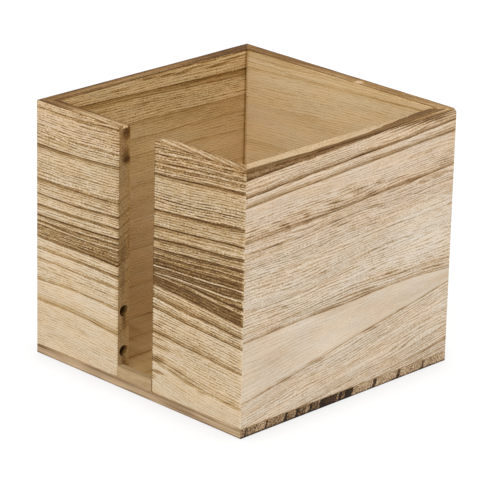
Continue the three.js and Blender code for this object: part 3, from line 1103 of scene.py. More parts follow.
@dataclass(frozen=True)
class ScorchedBase:
    """The base's paulownia, whose rings stand across the panel and are charred where end grain shows.

    End grain takes the flame far more than the face does, so the ends carry near-black slanted
    stripes, while the top and the underside show the same rings as soft brown bands.

    Attributes:
        half: Half the panel's depth, in mm.
        thickness: The panel's thickness, in mm.
        stripes: Scorch along the panel's depth from its front edge, as pairs of distance in mm and
            tone, each of which holds up to the next.
        slant: How far a ring moves back for each millimetre that it rises.
        floor_lines: Scorch on the flat faces, as pairs of distance from the left edge in mm and tone,
            with an even change between them.
    """

    half: float
    thickness: float
    stripes: tuple[tuple[float, float], ...] = (
        (0.0, 0.46), (2.3, 0.78), (3.1, 0.44), (7.6, 0.6), (8.3, 0.42), (12.7, 0.94),
        (14.0, 0.42), (22.5, 0.96), (24.3, 0.48), (28.7, 0.95), (29.9, 0.66), (34.0, 0.42),
        (35.6, 0.95), (37.1, 0.6), (40.4, 0.42), (41.0, 1.0), (43.4, 0.84), (50.0, 0.46),
        (51.3, 1.0), (52.8, 0.55), (54.6, 1.0), (57.0, 0.86), (58.8, 0.3), (69.8, 0.84),
        (71.5, 0.28), (83.1, 0.74), (84.7, 0.3), (96.8, 0.68), (98.2, 0.28),
    )
    slant: float = 0.34
    floor_lines: tuple[tuple[float, float], ...] = (
        (0.0, 0.3), (19.4, 0.3), (20.0, 0.44), (20.9, 0.3), (33.2, 0.3), (34.0, 0.6), (34.9, 0.27),
        (40.0, 0.27), (48.0, 0.3), (48.7, 0.44), (49.5, 0.28), (63.0, 0.3), (63.8, 0.44),
        (64.6, 0.28), (78.0, 0.28), (78.9, 0.46), (79.8, 0.28), (94.0, 0.3), (94.8, 0.42), (95.6, 0.3),
    )

    RAMP_REACH = 112.0  # the distance that each ramp spans, in mm
    # The pattern's scale: each noise's size from side to side, from front to back and upwards, in mm.
    FLOOR_STREAK = (0.5, 20.0, 0.5)  # the fine grain of the flat faces
    WAVER = (9.0, 1.6, 1.6)  # how the rings waver
    STREAK = (22.0, 0.6, 0.5)  # the grain of the long edges
    SPECKLE = (0.45, 0.45, 0.45)  # pores in the end grain
    CLOUD = (18.0, 6.0, 6.0)  # broad patches that the flame took more or less
    # Limits between which the lean of the surface, or a height in mm, becomes a share from 0 to 1.
    FACES_SIDE = {"From Min": 0.3, "From Max": 0.8}
    FACES_FRONT = {"From Min": 0.5, "From Max": 0.9}
    FACES_UP = {"From Min": 0.8, "From Max": 0.95}
    UPPER_EDGE = {"From Min": 2.1, "From Max": 2.8}
    # Painted shade under the rounded bottom edge: none above 1 mm, full below 0.3 mm.
    BOTTOM_EDGE_SHADE = {"From Min": 1.0, "From Max": 0.3}
    RING_WAVER = 1.6  # how far a ring wavers on the edges, in mm
    FLOOR_WAVER = 1.2  # how far it wavers on the flat faces, in mm
    RELIEF = (0.4, -0.15)  # how strongly the scorch's finest relief shows, and its depth in mm

    def banded(self, shader: Shader, run: Feed, tones: tuple, how: str) -> Node:
        """Looks up the tone at a distance.

        Args:
            shader: The material's shader.
            run: The distance, in mm.
            tones: Pairs of distance in mm and tone.
            how: How the tone runs between them, "CONSTANT" or "LINEAR".

        Returns:
            The node that holds the tone.
        """
        place = shader.total((run, 1 / self.RAMP_REACH))
        stops = [(at / self.RAMP_REACH, (tone, tone, tone, 1.0)) for at, tone in tones]
        return shader.add("ValToRGB", {"Fac": place}, stops=stops, ramp=how)

    def material(self) -> Material:
        """Makes the material.

        Returns:
            The material, which reads the object's own coordinates.
        """
        shader = Shader("scorched paulownia base_panel")
        place = shader.place()
        aside, across, rise = shader.add("SeparateXYZ", {0: place}).outputs
        normal = shader.add("NewGeometry").outputs["Normal"]
        steep = shader.add("VectorMath", {0: normal}, operation="ABSOLUTE")
        side, ahead, flat = shader.add("SeparateXYZ", {0: steep}).outputs
        spans = (
            (side, self.FACES_SIDE), (ahead, self.FACES_FRONT), (flat, self.FACES_UP),
            (rise, self.UPPER_EDGE), (rise, self.BOTTOM_EDGE_SHADE),
        )
        end, front, top, upper, lower = (
            shader.add("MapRange", {"Value": value, **limits}) for value, limits in spans
        )
        waver = shader.noise(place, self.WAVER, 2.0)
        sizes = (self.STREAK, self.SPECKLE, self.CLOUD, self.FLOOR_STREAK)
        streak, speckle, cloud, grain = (shader.noise(place, size, 1.0) for size in sizes)

        # The edges: stripes by the distance behind the front edge, which lean back as they rise.
        back = shader.total((across, 1.0), (self.half, 1.0))
        lean = shader.total((rise, -self.slant), (self.thickness, self.slant))
        shift = shader.total((waver, self.RING_WAVER), (1.0, -self.RING_WAVER / 2))
        ring = shader.total((back, 1.0), (lean, 1.0), (shift, 1.0))
        stripes = self.banded(shader, ring, self.stripes, "CONSTANT")
        # The bands have full strength on the ends. On the long edges one ring fills the view.
        strength = shader.total((end, 0.72), (front, -0.22), (1.0, 0.28))
        scorched = shader.total(
            (stripes, strength),
            (front, -0.03),
            (streak, shader.total((front, 0.6), (flat, 0.5))),
            (upper, shader.total((front, 0.12))),
            # Painted shade along the bottom edge of the ends and the front.
            (lower, shader.total((end, 0.45), (front, 0.18))),
            (flat, -0.2),
            (speckle, shader.total((end, 1.5), (1.0, 0.1))),
            (end, -0.72),
            (cloud, 0.4),
            (1.0, -0.24),
        )
        edges = shader.add("ValToRGB", {"Fac": scorched}, stops=colours(END_SCALE))

        # The flat faces: soft lines by the distance from the left edge.
        shift = shader.total((waver, self.FLOOR_WAVER), (1.0, -self.FLOOR_WAVER / 2))
        drift = shader.total((aside, 1.0), (self.half, 1.0), (shift, 1.0))
        lines = self.banded(shader, drift, self.floor_lines, "LINEAR")
        smooth = shader.total((lines, 1.0), (grain, 0.25), (cloud, 0.3), (1.0, -0.3))
        # The golden scale is partly painted warm light bounced inside the box.
        golden = shader.add("ValToRGB", {"Fac": smooth}, stops=colours(GOLDEN_SCALE))
        colour = shader.add("Mix", {0: top, 6: edges, 7: golden}, data_type="RGBA").outputs[2]
        looks = {"Base Color": colour, "Roughness": 0.78, "Specular IOR Level": 0.2}
        return shader.dress(looks, scorched, self.RELIEF)


@dataclass(frozen=True)
class PlanedSill:
    """The sill's paulownia: planed smooth after scorching, with its fine grain along the slot's width.

    Attributes:
        dark: The colour of its darker grain.
        light: The colour of its lighter grain.
    """

    dark: str = "A28761"
    light: str = "B99F78"

    GRAIN = (14.0, 0.5, 0.45)  # the fine grain's size along x, y and z, in mm
    CLOUD = (6.0, 3.0, 2.5)  # its patches' size
    RELIEF = (0.2, 0.1)  # how strongly the grain's relief shows, and its depth in mm

    def material(self) -> Material:
        """Makes the material.

        Returns:
            The material, which reads the object's own coordinates.
        """
        shader = Shader("planed paulownia slot_sill")
        place = shader.place()
        grain = shader.noise(place, self.GRAIN, 1.0)
        cloud = shader.noise(place, self.CLOUD, 1.0)
        shade = shader.total((grain, 0.5), (cloud, 0.5))
        stops = [(0.38, linear(self.dark)), (0.62, linear(self.light))]
        colour = shader.add("ValToRGB", {"Fac": shade}, stops=stops)
        looks = {"Base Color": colour, "Roughness": 0.7, "Specular IOR Level": 0.2}
        return shader.dress(looks, grain, self.RELIEF)


@dataclass(frozen=True)
class BrightSteel:
    """Bright drawn steel wire: a grey mirror, blurred by fine turning marks and a dull film in spots.

    Attributes:
        bright: The colour of the bare steel.
        dull: Its colour under the film.
    """

    bright: str = "B9B8B4"
    dull: str = "8E8A82"

    MARKS = (0.25, 0.25, 3.0)  # the turning marks' size along x, y and z, in mm
    FILM = (0.9, 0.9, 0.9)  # the film's spots
    RELIEF = (0.3, 0.02)  # how strongly the marks' relief shows, and its depth in mm

    def material(self) -> Material:
        """Makes the material.

        Returns:
            The material, which reads the object's own coordinates.
        """
        shader = Shader("bright drawn steel")
        place = shader.place()
        marking = shader.noise(place, self.MARKS, 2.0)
        film = shader.noise(place, self.FILM, 3.0)
        roughness = shader.total((marking, 0.25), (film, 0.35), (1.0, 0.05))
        stops = [(0.3, linear(self.dull)), (0.6, linear(self.bright))]
        colour = shader.add("ValToRGB", {"Fac": film}, stops=stops)
        looks = {"Base Color": colour, "Metallic": 1.0, "Roughness": roughness}
        return shader.dress(looks, marking, self.RELIEF)


# ---- The boards' growth rings ----

FRONT_LEFT = Figure(
    rings=(
        Ring((2.3, 2.3, 0.7), 0.45, 0.6, (0.21, 0.23), 0.6),
        Ring((7.4, 7.5, 6.4), 0.1, 0.5, (0.21, 0.21), 0.75),
        Ring((13.4, 13.5, 12.5), 0.06, 0.6, (0.19, 0.19), 0.5),
        Ring((16.9, 16.5, 15), 0.55, 1, (0.21, 0.18), 0.4),
        Ring((23.4, 23.3, 22.3), 0.05, 1, (0.19, 0.21), 0.55),
        Ring((30.3, 30, 28.6), 0.55, 0.8, (0.25, 0.21), 0.5),
        Ring((36.4, 35.9, 34.6), 0.74, 0.5, (0.23, 0.21), 0.45),
        Ring((40.9, 40.4, 39), 0.76, 0.5, (0.25, 0.23), 0.5),
        Ring((44.7, 44.3, 42.9), 0.8, 0.7, (0.31, 0.29), 0.6),
        Ring((47, 46.6, 45.3), 0.62, 0.6, (0.33, 0.33), 0.6),
        Ring((48.8, 48.6, 47.8), 0.42, 0.7, (0.39, 0.43), 0.7),
        Ring((50.4, 50.2, 49.5), 0.3, 0.6, (0.37, 0.39), 0.8),
        Ring((51.9, 51.7, 51.2), 0.25, 0.8, (0.48, 0.53), 0.6),
        Ring((53.9, 53.8, 53.8), 0.3, 0.5, (0.11, 0.15), 0.45),
        Ring((58.3, 58.1, 58.2), 0.4, 0.9, (0.11, 0.13), 0.4),
        Ring((62.3, 62.3, 62.3), 0.42, 0.6, (0.12, 0.13), 0.4),
        Ring((66.2, 66, 66.3), 0.14, 0.6, (0.11, 0.13), 0.4),
        Ring((70.9, 69.9, 70.6), 0.34, 1, (0.09, 0.09), 0.25),
        Ring((79.1, 78.9, 80.7), 0.36, 1.9, (0.09, 0.09), 0.22),
    ),
    above=0.24,
    tilt=0.5,
    turnover=12.5,
    seed=1,
    marks={
        Face.OUTER: marks(
            (22, 97.6, 400, 0.45, 0.35), (8, 5, 15, 5, -0.1), (42, 25, 18, 30, 0.05),
            (34, 52.7, 14, 1.2, 0.2), (5, 55, 18, 30, -0.04), (44.6, 30, 0.7, 60, 0.12),
            (38, 57.5, 14, 0.7, 0.24), (38, 62, 12, 0.5, 0.14), (33, 79.3, 6, 1, 0.14),
            (27, 85.2, 2.2, 0.9, 0.16), (38, 87.5, 3.5, 0.5, 0.14), (32, 90.6, 4, 0.6, 0.1),
            (8, 17.6, 12, 0.9, 0.12), (23, 11.2, 4, 0.35, 0.25), (13, 6.7, 5, 0.35, 0.2),
            (22, 22, 4, 2, 0.06), (22, 0.7, 400, 0.6, -0.05), (22, 9, 400, 5, -0.05),
        ),
        Face.END: marks(
            (3.7, 2.2, 1.9, 2.6, 0.6), (3.6, 11, 1.9, 3, 0.35), (4, 12.8, 1.9, 1.4, 0.4),
            (2.2, 50, 1.6, 6, 0.14), (2.4, 61, 1.3, 4, 0.18), (3.3, 75, 1, 3.5, 0.3),
            (3.3, 91.5, 1, 3, 0.3),
        ),
        Face.RIM: marks(
            (5, 0.6, 12, 1.6, 0.25), (22, 0.6, 400, 0.4, 0.35), (22, 5.3, 400, 0.7, 0.45),
            (33, 2.6, 10, 2, -0.14), (12, 3.4, 12, 3, 0.1), (3, 4, 9, 4, 0.25),
            (13, 2.4, 6, 1, 0.15), (31, 4, 6, 1.4, -0.14),
        ),
    },
)
FRONT_RIGHT = Figure(
    rings=(
        Ring((2.4, 0.5, -1.3), 0.4, 0.35, (0.34, 0.34), 0.75),
        Ring((4.9, 2.7, 0.7), 0.4, 0.35, (0.34, 0.34), 0.75),
        Ring((7.5, 5.3, 3.1), 0.42, 0.4, (0.34, 0.34), 0.75),
        Ring((9.2, 7.2, 5.2), 0.36, 0.4, (0.34, 0.34), 0.7),
        Ring((12.1, 10.1, 7.8), 0.85, 0.6, (0.33, 0.21), 0.5),
        Ring((19, 17.6, 15), 0.12, 0.5, (0.27, 0.27), 0.8),
        Ring((21.2, 19.6, 17.2), 0.32, 0.4, (0.3, 0.3), 0.8),
        Ring((26, 23.9, 21.6), 0.8, 0.6, (0.35, 0.3), 0.5),
        Ring((32.1, 30.1, 27.9), 0.9, 0.5, (0.35, 0.33), 0.5),
        Ring((36.8, 34.6, 32.5), 0.82, 0.7, (0.41, 0.39), 0.6),
        Ring((40.4, 38.6, 36.6), 0.55, 1, (0.53, 0.43), 0.7),
        Ring((43.1, 41.5, 39.6), 0.55, 0.6, (0.53, 0.47), 0.7),
        Ring((45, 43.7, 42), 0.4, 0.6, (0.61, 0.71), 0.7),
        Ring((47.4, 46, 44.6), -0.65, 0.3, (0.71, 0.66), 0.7),
        Ring((49.8, 49.1, 48.4), -0.65, 0.5, (0.62, 0.62), 0.7),
        Ring((50.2, 50.4, 51.5), 0.35, 0.5, (0.62, 0.62), 0.7),
        Ring((50.7, 51.5, 53.1), -0.65, 0.3, (0.71, 0.72), 0.65),
        Ring((54.6, 56.1, 58.3), 0.2, 0.4, (0.23, 0.29), 0.6),
        Ring((59.1, 61.1, 62.9), 0.55, 1.3, (0.19, 0.29), 0.6),
        Ring((63.6, 65.3, 66.9), 0.5, 1, (0.17, 0.17), 0.5),
        Ring((73.2, 74.7, 76.4), 0.4, 1.5, (0.13, 0.13), 0.4),
        Ring((84.5, 88.3, 90), 0.2, 1.4, (0.09, 0.08), 0.2),
    ),
    above=0.34,
    tilt=0.5,
    turnover=16.5,
    seed=2,
    marks={
        Face.OUTER: marks(
            (22, 97.6, 400, 0.45, 0.35), (0.1, 45, 0.4, 300, 0.55), (46.3, 50, 0.75, 300, -0.08),
            (46.3, 30, 0.75, 34, -0.1), (46.3, 50, 0.75, 14, -0.28), (23, 0.1, 400, 0.4, 0.15),
            (7, 45.5, 7, 1.8, 0.12), (6, 52.5, 6, 1.6, 0.18), (18.5, 52.6, 2.5, 1.2, 0.2),
            (18.5, 39.5, 3, 0.6, 0.2), (44, 57, 4, 1.6, 0.15), (4.5, 78, 6, 0.7, 0.5),
            (3, 83.3, 4.5, 1.3, 0.5), (13, 85.2, 4.5, 1.5, 0.2), (20, 87.6, 5, 1.1, 0.18),
            (26, 89.6, 2.5, 0.5, 0.35), (39, 89.2, 2.5, 0.4, 0.25), (15, 27.9, 10, 0.5, 0.14),
            (3, 70, 3, 0.7, 0.35), (2.5, 75, 3, 0.7, 0.35), (3, 88.3, 4, 0.6, 0.5),
            (4, 72.9, 7, 0.8, 0.25), (5, 68.5, 3, 0.5, 0.35), (1, 90.8, 1.5, 0.8, 0.4),
            (23, 2.5, 400, 4, -0.04),
        ),
        Face.RIM: marks(
            (23, 0.5, 400, 0.4, 0.35), (23, 3, 400, 2.4, -0.12), (10, 3, 12, 2.4, -0.1),
            (23, 5.6, 400, 0.6, 0.25), (5, 4, 10, 2, -0.12), (14, 2.3, 5, 1, -0.15),
        ),
    },
)
RIGHT_SIDE = Figure(
    rings=(
        Ring((-1.4, -0.85, -1, -2.65, -5.4), 0.1, 0.6, (0.58, 0.62), 0.4),
        Ring((3.5, 2.3, 1, -0.4, -1.6), 0.12, 0.3, (0.12, 0.2), 0.35),
        Ring((9.9, 8.5, 7.2, 5.8, 4.3), 0.6, 1, (0.14, 0.16), 0.3),
        Ring((13.3, 12.2, 11.1, 9.4, 8.3), 0.42, 1.2, (0.12, 0.11), 0.2),
        Ring((18, 17.2, 16.4, 15.5, 15), 0.02, 0.8, (0.12, 0.2), 0.35),
        Ring((26.4, 25.9, 24.4, 23.1, 21.6), 0.4, 0.9, (0.19, 0.17), 0.32),
        Ring((30.9, 30.6, 28.5, 28.4, 27.3), 0.16, 0.4, (0.18, 0.17), 0.36),
        Ring((36.7, 36.4, 34.5, 33.2, 32), 0.12, 0.4, (0.16, 0.15), 0.33),
        Ring((41.2, 40.9, 39.3, 38, 37), 0.12, 0.4, (0.15, 0.14), 0.31),
        Ring((49.5, 49.2, 46, 44.6, 43), 0.1, 0.4, (0.14, 0.14), 0.35),
        Ring((53, 52.2, 50.2, 49.2, 47.6), 0.1, 0.4, (0.14, 0.15), 0.36),
        Ring((61, 60.2, 57.8, 58.3, 58.9), 0.16, 0.6, (0.16, 0.19), 0.4),
        Ring((64.1, 62.9, 62.4, 61.6, 62.9), 0.24, 0.9, (0.12, 0.11), 0.1),
        Ring((87.7, 83.3, 77.9, 73.2, 68.5), 0.24, 0.6, (0.16, 0.14), 0.33),
        Ring((92, 87.4, 83.9, 79.5, 75), 0.1, 0.4, (0.14, 0.14), 0.3),
        Ring((97, 92.2, 88.2, 83.2, 79.5), 0.1, 0.4, (0.13, 0.15), 0.27),
        Ring((102, 97.5, 93.5, 90.8, 86), 0.1, 0.4, (0.14, 0.16), 0.32),
        Ring((108, 103, 98.5, 95.5, 92), 0.1, 0.4, (0.16, 0.18), 0.32),
    ),
    above=0.15,
    tilt=-0.6,
    turnover=0.0,
    seed=3,
    unruly=1.8,
    marks={
        Face.OUTER: marks(
            # The first mark is painted shade along the rounded arris at the near corner.
            (0.2, 50, 0.4, 300, 0.03), (28, 5, 24, 5, 0.03), (82, 5, 24, 5, -0.03),
            (85, 0.2, 60, 0.35, 0.5), (94, 1.4, 22, 1.5, 0.26), (60, 6.4, 10, 0.6, 0.25),
            (2.5, 24.3, 2.5, 0.4, 0.4), (3, 22.4, 2.5, 0.4, 0.3), (9.5, 24, 2.5, 0.5, 0.25),
            (15.5, 22.2, 2.6, 0.4, 0.4), (19.5, 24, 2.2, 0.7, 0.4), (21.5, 25.2, 1.4, 0.7, 0.35),
            (28, 21.4, 5, 0.5, 0.25), (31, 23.2, 1.6, 1, 0.35), (31.5, 25.3, 2.6, 0.5, 0.3),
            (36, 19.4, 3, 0.9, 0.14), (41, 20.2, 3, 0.3, 0.3), (46, 21.4, 4, 1, 0.36),
            (45, 24, 4, 0.6, 0.22), (52, 18.4, 3.5, 0.4, 0.22), (57.5, 20.2, 4, 1.2, 0.32),
            (64.5, 22.6, 2.6, 1.1, 0.25), (69, 19.3, 3, 0.8, 0.28), (78, 20.2, 6, 0.6, 0.24),
            (87, 22.5, 4, 0.5, 0.24), (104, 19.2, 4.5, 1.6, 0.16), (66, 28, 3.5, 0.4, 0.3),
            (70, 29, 2.5, 0.4, 0.25), (48, 31, 5, 0.5, 0.25), (46, 28.9, 8, 0.35, 0.25),
            (16, 30.5, 5, 0.35, 0.28), (27.5, 30.6, 2.5, 0.35, 0.28), (21, 55.4, 1.5, 0.6, 0.28),
            (14, 55.3, 3.5, 0.5, 0.2), (26, 51.8, 3.5, 0.5, 0.22), (41, 52.5, 3, 0.5, 0.22),
            (41, 47.2, 3, 0.4, 0.25), (16, 62.8, 6, 0.9, 0.2), (44, 62, 7, 0.9, 0.2),
            (63, 60.8, 6, 1.1, 0.28), (77, 56.3, 3.5, 0.9, 0.25), (82, 58, 7, 0.6, 0.18),
            (104, 60.5, 5, 1.8, 0.12), (14, 84.9, 1.5, 0.5, 0.25), (22, 84, 4, 0.8, 0.25),
            (38, 81.3, 4, 0.8, 0.25), (67, 76.4, 4, 0.7, 0.25), (84, 73, 3, 0.6, 0.2),
            (95, 90, 18, 6, 0.07), (96, 43, 20, 14, -0.09), (55, 97.4, 400, 0.5, 0.12),
            (96, 0.7, 13, 1.5, 0.35),
        ),
        Face.RIM: marks(
            (85, 0.4, 50, 0.6, 0.2), (14, 0.5, 26, 1.9, 0.14), (96, 0.2, 16, 1.5, 0.3),
            (94, 5, 12, 2, 0.16), (78, 4.6, 8, 1.8, 0.1),
        ),
    },
)
BACK = Figure(
    rings=(
        Ring((-6, -2.5, 0.6), 0.21, 0.6, (0.27, 0.09), 0.28),
        Ring((-1.6, 1, 3), 0.14, 0.5, (0.03, 0.03), 0.35),
        Ring((2, 4.2, 7.4), 0.22, 1.1, (0.02, 0.01), 0.35),
        Ring((8, 9.2, 12), 0.06, 0.8, (0.03, 0.02), 0.42),
        Ring((14, 18, 22.5), 0.08, 2.2, (0.03, 0.03), 0.28),
        Ring((27, 29, 30.5), 0.04, 1, (0.03, 0.03), 0.28),
        Ring((33, 34.5, 37), 0.08, 2.2, (0.05, 0.05), 0.28),
        Ring((48, 50, 53), 0.21, 0.9, (0.07, 0.05), 0.28),
        Ring((56, 57, 60), 0.2, 0.8, (0.05, 0.05), 0.28),
        Ring((68, 70, 72), 0.21, 0.8, (0.03, 0.03), 0.28),
        Ring((82, 80, 84), 0.17, 0.8, (0, 0), 0.21),
    ),
    above=0.42,
    known_depth=6.0,
    tilt=0.45,
    turnover=8.0,
    seed=4,
    marks={
        Face.INNER: marks(
            (95, 3, 14, 3, -0.08), (92, 2.4, 14, 0.4, 0.12), (90, 4.6, 20, 0.4, 0.2),
            (103.9, 50, 0.5, 300, 0.2),
        ),
        Face.RIM: marks(
            (75, 0.3, 90, 1, 0.3), (75, 2.8, 45, 2.4, 0.22), (22, 3, 26, 2.6, 0.3),
            (55, 5.45, 400, 0.6, 0.5), (46, 4.2, 1.6, 2.2, -0.5),
        ),
        Face.OUTER: marks((55, 97.6, 400, 0.45, 0.3)),
    },
)
LEFT_SIDE = Figure(
    rings=(
        Ring((-3, -3, -3), 0.3, 0.6, (0.23, 0.14), 0.42),
        Ring((-1, -1, -0.5), 0.2, 0.6, (0.14, 0.2), 0.77),
        Ring((8, 6, 4.4), 0.25, 0.5, (0.48, 0.4), 0.51),
        Ring((10.7, 8.2, 6.6), 0.1, 0.7, (0.22, 0.16), 0.77),
        Ring((18.4, 17.2, 16.8), 0.2, 2.4, (0.2, 0.2), 0.42),
        Ring((24, 24, 22), 0.12, 1.2, (0.19, 0.19), 0.34),
        Ring((33, 31, 31), 0.1, 1.2, (0.17, 0.16), 0.3),
        Ring((45, 43, 42), 0.12, 1, (0.14, 0.13), 0.3),
        Ring((58, 56, 54), 0.1, 1, (0.11, 0.1), 0.3),
        Ring((70, 69, 68), 0.12, 1, (0.09, 0.09), 0.3),
        Ring((85, 84, 86), 0.16, 1, (0.08, 0.08), 0.3),
    ),
    above=0.5,
    known_depth=6.0,
    tilt=0.45,
    turnover=9.0,
    seed=5,
    marks={
        Face.INNER: marks(
            (6.2, 50, 0.8, 300, 0.35), (59, 0.9, 5, 0.4, 0.4), (50, 1.7, 4, 0.4, 0.45),
            (41, 2.3, 5, 0.5, 0.45), (33, 1.5, 5, 0.4, 0.4), (22, 3.2, 7, 0.6, 0.45),
            (13, 2, 5, 0.5, 0.4), (26, 0.8, 4, 0.3, 0.3), (74, 2.6, 6, 0.4, 0.35),
            (84, 9.4, 6, 0.4, 0.3), (60, 10.4, 7, 0.4, 0.3), (45, 11.8, 5, 0.4, 0.2),
            (20, 6.9, 24, 0.8, 0.15), (55, 0.1, 400, 0.4, 0.35),
        ),
        Face.RIM: marks(
            (55, 0.3, 90, 0.8, 0.3), (55, 2.6, 400, 3.4, 0.42), (10, 3, 25, 5, 0.25),
            (62, 3.8, 34, 1.2, -0.14), (55, 5.4, 400, 0.7, 0.55),
        ),
        Face.OUTER: marks((55, 97.6, 400, 0.45, 0.3)),
    },
)


# ---- The sub-assemblies ----


@dataclass
class Walls:
    """The five wall boards, at the sizes and places of their CAD nodes.

    Attributes:
        boards: The boards, once they are measured.
    """

    boards: list[Board] = field(default_factory=list)

    SLOT_TOP_RADIUS = 0.9  # the wear of the top corners at the slot
    WORN_CORNER = 1.7  # the wear of the top corner between the right side and the back
    HOLE_HEIGHTS = (13.4, 29.4)  # of the blind holes, above the ground
    # What sets a board's finish apart. The right side is paler, and yellowed further down and on its
    # rim. The back's and the left side's rings are stated for their inner faces, and outside they
    # are bolder.
    OWN_LOOKS = {
        "right_side_board": {"outside": PALE_SCALE, "golden_rim": 0.5, "warm_depth": 40.0},
        "back_board": {"bold_outside": 1.6},
        "left_side_board": {"bold_outside": 1.6},
    }

    def measure(self) -> None:
        """Lays out the boards from the frame: every size is read off the CAD nodes' boxes."""
        base_high = np.array(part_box("base_panel")[1]) / MM
        back_low, back_high = (np.array(corner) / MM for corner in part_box("back_board"))
        slot_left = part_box("front_left_board")[1].x / MM
        slot_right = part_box("front_right_board")[0].x / MM
        right_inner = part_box("right_side_board")[0].x / MM
        right, back, foot = base_high[0], base_high[1], back_low[2]
        shared = {"thickness": back_high[1] - back_low[1], "height": back_high[2] - foot}
        mitred = {"left": End.MITRE, "right": End.MITRE, **shared}
        self.boards = [
            Board(
                node="front_left_board",
                length=slot_left + right,
                left=End.MITRE,
                right=End.SLOT,
                place=((slot_left - right) / 2, -back, foot),
                turn=0,
                figure=FRONT_LEFT,
                holes=tuple(height - foot for height in self.HOLE_HEIGHTS),
                worn=(0.0, self.SLOT_TOP_RADIUS),
                **shared,
            ),
            Board(
                node="front_right_board",
                length=right - slot_right,
                left=End.SLOT,
                right=End.MITRE,
                place=((slot_right + right) / 2, -back, foot),
                turn=0,
                figure=FRONT_RIGHT,
                worn=(self.SLOT_TOP_RADIUS, 0.0),
                **shared,
            ),
            Board(
                node="right_side_board",
                length=2 * back,
                place=(right, 0, foot),
                turn=1,
                figure=RIGHT_SIDE,
                worn=(0.0, self.WORN_CORNER),
                **{**mitred, "thickness": right - right_inner},
            ),
            Board(
                node="back_board",
                length=2 * right,
                place=(0, back, foot),
                turn=2,
                figure=BACK,
                worn=(self.WORN_CORNER, 0.0),
                **mitred,
            ),
            Board(
                node="left_side_board",
                length=2 * back,
                place=(-right, 0, foot),
                turn=3,
                figure=LEFT_SIDE,
                **mitred,
            ),
        ]

    def build(self) -> None:
        """Makes and dresses every board."""
        for board in self.boards:
            piece = board.build()
            name = f"scorched paulownia {board.node}"
            looks = self.OWN_LOOKS.get(board.node, {})
            piece.data.materials.append(ScorchedPaulownia(name, board.figure, **looks).material())
            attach(piece, "root")
            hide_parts(board.node)
            log.info("%s: %d faces", piece.name, len(piece.data.polygons))


@dataclass
class Bottom:
    """The base panel, the sill and the brads: CAD solids that keep their shape and get a finish.

    Attributes:
        panel: The panel's CAD node.
        sill: The sill's.
        brads: What the brads' names begin with.
    """

    panel: str = "base_panel"
    sill: str = "slot_sill"
    brads: str = "brad_"

    def build(self) -> None:
        """Dresses the panel, the sill and every brad."""
        low, high = (np.array(corner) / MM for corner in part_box(self.panel))
        wood = ScorchedBase(half=float(high[1]), thickness=float(high[2] - low[2])).material()
        planed = PlanedSill().material()
        steel = BrightSteel().material()
        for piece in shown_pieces():
            if not piece.name.startswith((self.panel, self.sill, self.brads)):
                continue
            if piece.name == self.panel:
                piece.material_slots[0].material = wood
            elif piece.name == self.sill:
                piece.material_slots[0].material = planed
            else:
                piece.material_slots[0].material = steel
            log.info("%s: %d faces", piece.name, len(piece.data.polygons))


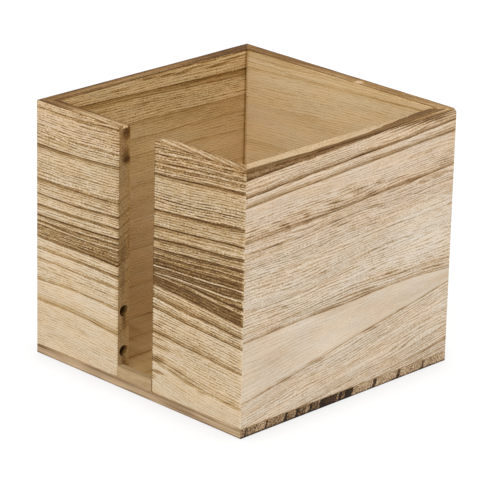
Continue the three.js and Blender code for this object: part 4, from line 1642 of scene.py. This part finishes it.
@dataclass
class Studio:
    """The pale floor, the soft lamps and the camera.

    Attributes:
        azimuth: The camera's direction round the box, in degrees from the front towards the right.
        elevation: Its height above the horizon, in degrees.
        roll: Its roll, in degrees.
        distance: Its distance from the plane through the box's origin.
        aside: How far it is shifted to its own right.
        above: How far it is shifted to its own top.
        lens: Its focal length on a 36 mm sensor.
    """

    azimuth: float = 44.70
    elevation: float = 20.395
    roll: float = 1.293
    distance: float = 1180.16
    aside: float = -0.396
    above: float = 44.285
    lens: float = 232.17

    SENSOR = 36
    FLOOR_REACH = 8000
    # White paper throws most of the light back onto the box, by the first albedo. Where the camera sees
    # it, it has the second, and glows: by the first glow in the deepest contact shadow, and by both
    # together clear of the box, so that the glow holds a painted contact shadow beside the real one on
    # the diffuse share. That keeps it as white from every side.
    ALBEDOS = (0.9, 0.22)
    GLOWS = (0.61, 0.22)
    PAINTED_SHADOW_REACH = 14  # how far the painted contact shadow reaches from the box
    PAINTED_SHADOW_LEAN = (-1.0, -1.0, 0.7)  # the lean of the occlusion that paints the contact shadow, so that it lies right and behind
    SKY = 0.8  # the even sky's strength
    KEY = 1.05  # the lamp's strength, in W/m2
    KEY_WIDTH = 35  # its width as the box sees it, in degrees
    KEY_FROM = (0.45, -0.62, 0.64)  # the direction that it stands in

    def camera(self) -> None:
        """Makes the camera: its axes from its azimuth and elevation, rolled, then shifted in its plane."""
        azimuth, elevation, roll = (math.radians(a) for a in (self.azimuth, self.elevation, self.roll))
        flat = math.cos(elevation)
        back = Vector((math.sin(azimuth) * flat, -math.cos(azimuth) * flat, math.sin(elevation)))
        level = Vector((math.cos(azimuth), math.sin(azimuth), 0))
        upright = back.cross(level)
        right = math.cos(roll) * level + math.sin(roll) * upright
        up = -math.sin(roll) * level + math.cos(roll) * upright
        data = bpy.data.cameras.new("camera")
        data.lens, data.sensor_width = self.lens, self.SENSOR
        camera = bpy.data.objects.new("camera", data)
        turned = Matrix((right, up, back)).transposed().to_4x4()
        turned.translation = (back * self.distance + right * self.aside + up * self.above) * MM
        camera.matrix_world = turned
        bpy.context.scene.collection.objects.link(camera)
        bpy.context.scene.camera = camera

    def paper(self) -> Material:
        """Makes the floor's material.

        A sweep of white paper is matt and has no edge in view. The eye sees an even white ground, and
        on it only the box's soft grey shadow, which is partly painted into the paper's glow.

        Returns:
            The material.
        """
        shader = Shader("white paper sweep")
        rays = shader.add("LightPath").outputs
        kinds = ("Is Camera Ray", "Is Glossy Ray", "Is Transmission Ray")
        looking = shader.total(*[(rays[kind], 1.0) for kind in kinds])
        seen = shader.add("Math", {0: looking, 1: 1.0}, operation="MINIMUM")
        unseen_albedo, seen_albedo = self.ALBEDOS
        albedo = shader.total((seen, seen_albedo - unseen_albedo), (1.0, unseen_albedo))
        leaning = Vector(self.PAINTED_SHADOW_LEAN).normalized()
        shade = {"Distance": self.PAINTED_SHADOW_REACH * MM, "Normal": leaning}
        # Painted shadow: occlusion near the box, leaning as set, dims the glow that the camera sees.
        painted_shadow_ao = shader.add("AmbientOcclusion", shade, samples=8).outputs["AO"]
        shadow_glow, open_glow = self.GLOWS
        glow_with_painted_shadow = shader.total((painted_shadow_ao, open_glow), (1.0, shadow_glow))
        diffuse = shader.add("BsdfDiffuse", {"Color": albedo})
        glow = {"Color": (1, 1, 1, 1), "Strength": shader.total((seen, glow_with_painted_shadow))}
        added = shader.add("AddShader", {0: diffuse, 1: shader.add("Emission", glow)})
        shader.add("OutputMaterial", {"Surface": added})
        return shader.material

    def floor(self) -> None:
        """Makes the floor, a wide plane."""
        mesh = bpy.data.meshes.new("floor")
        reach = self.FLOOR_REACH * MM
        corners = [(x * reach, y * reach, 0) for x, y in ((-1, -1), (1, -1), (1, 1), (-1, 1))]
        mesh.from_pydata(corners, [], [(0, 1, 2, 3)])
        floor = bpy.data.objects.new("floor", mesh)
        bpy.context.scene.collection.objects.link(floor)
        mesh.materials.append(self.paper())
        floor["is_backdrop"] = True

    def lamps(self) -> None:
        """Lights the box: an even pale sky, and a broad soft lamp from the right and above."""
        world = bpy.data.worlds.new("studio")
        world.use_nodes = True
        background = world.node_tree.nodes["Background"]
        background.inputs["Color"].default_value = (1, 1, 1, 1)
        background.inputs["Strength"].default_value = self.SKY
        bpy.context.scene.world = world
        data = bpy.data.lights.new("key", "SUN")
        data.energy = self.KEY
        data.angle = math.radians(self.KEY_WIDTH)
        lamp = bpy.data.objects.new("key", data)
        lamp.rotation_euler = Vector(self.KEY_FROM).to_track_quat("Z", "Y").to_euler()
        bpy.context.scene.collection.objects.link(lamp)

    def build(self) -> None:
        """Sets up everything round the box."""
        self.camera()
        self.floor()
        self.lamps()
        bpy.context.scene.view_settings.view_transform = "Standard"


def main() -> None:
    """Builds the box's looks in order."""
    logging.basicConfig(level=logging.INFO)
    Studio().build()
    walls = Walls()
    walls.measure()
    walls.build()
    Bottom().build()


if __name__ == "__main__":
    main()
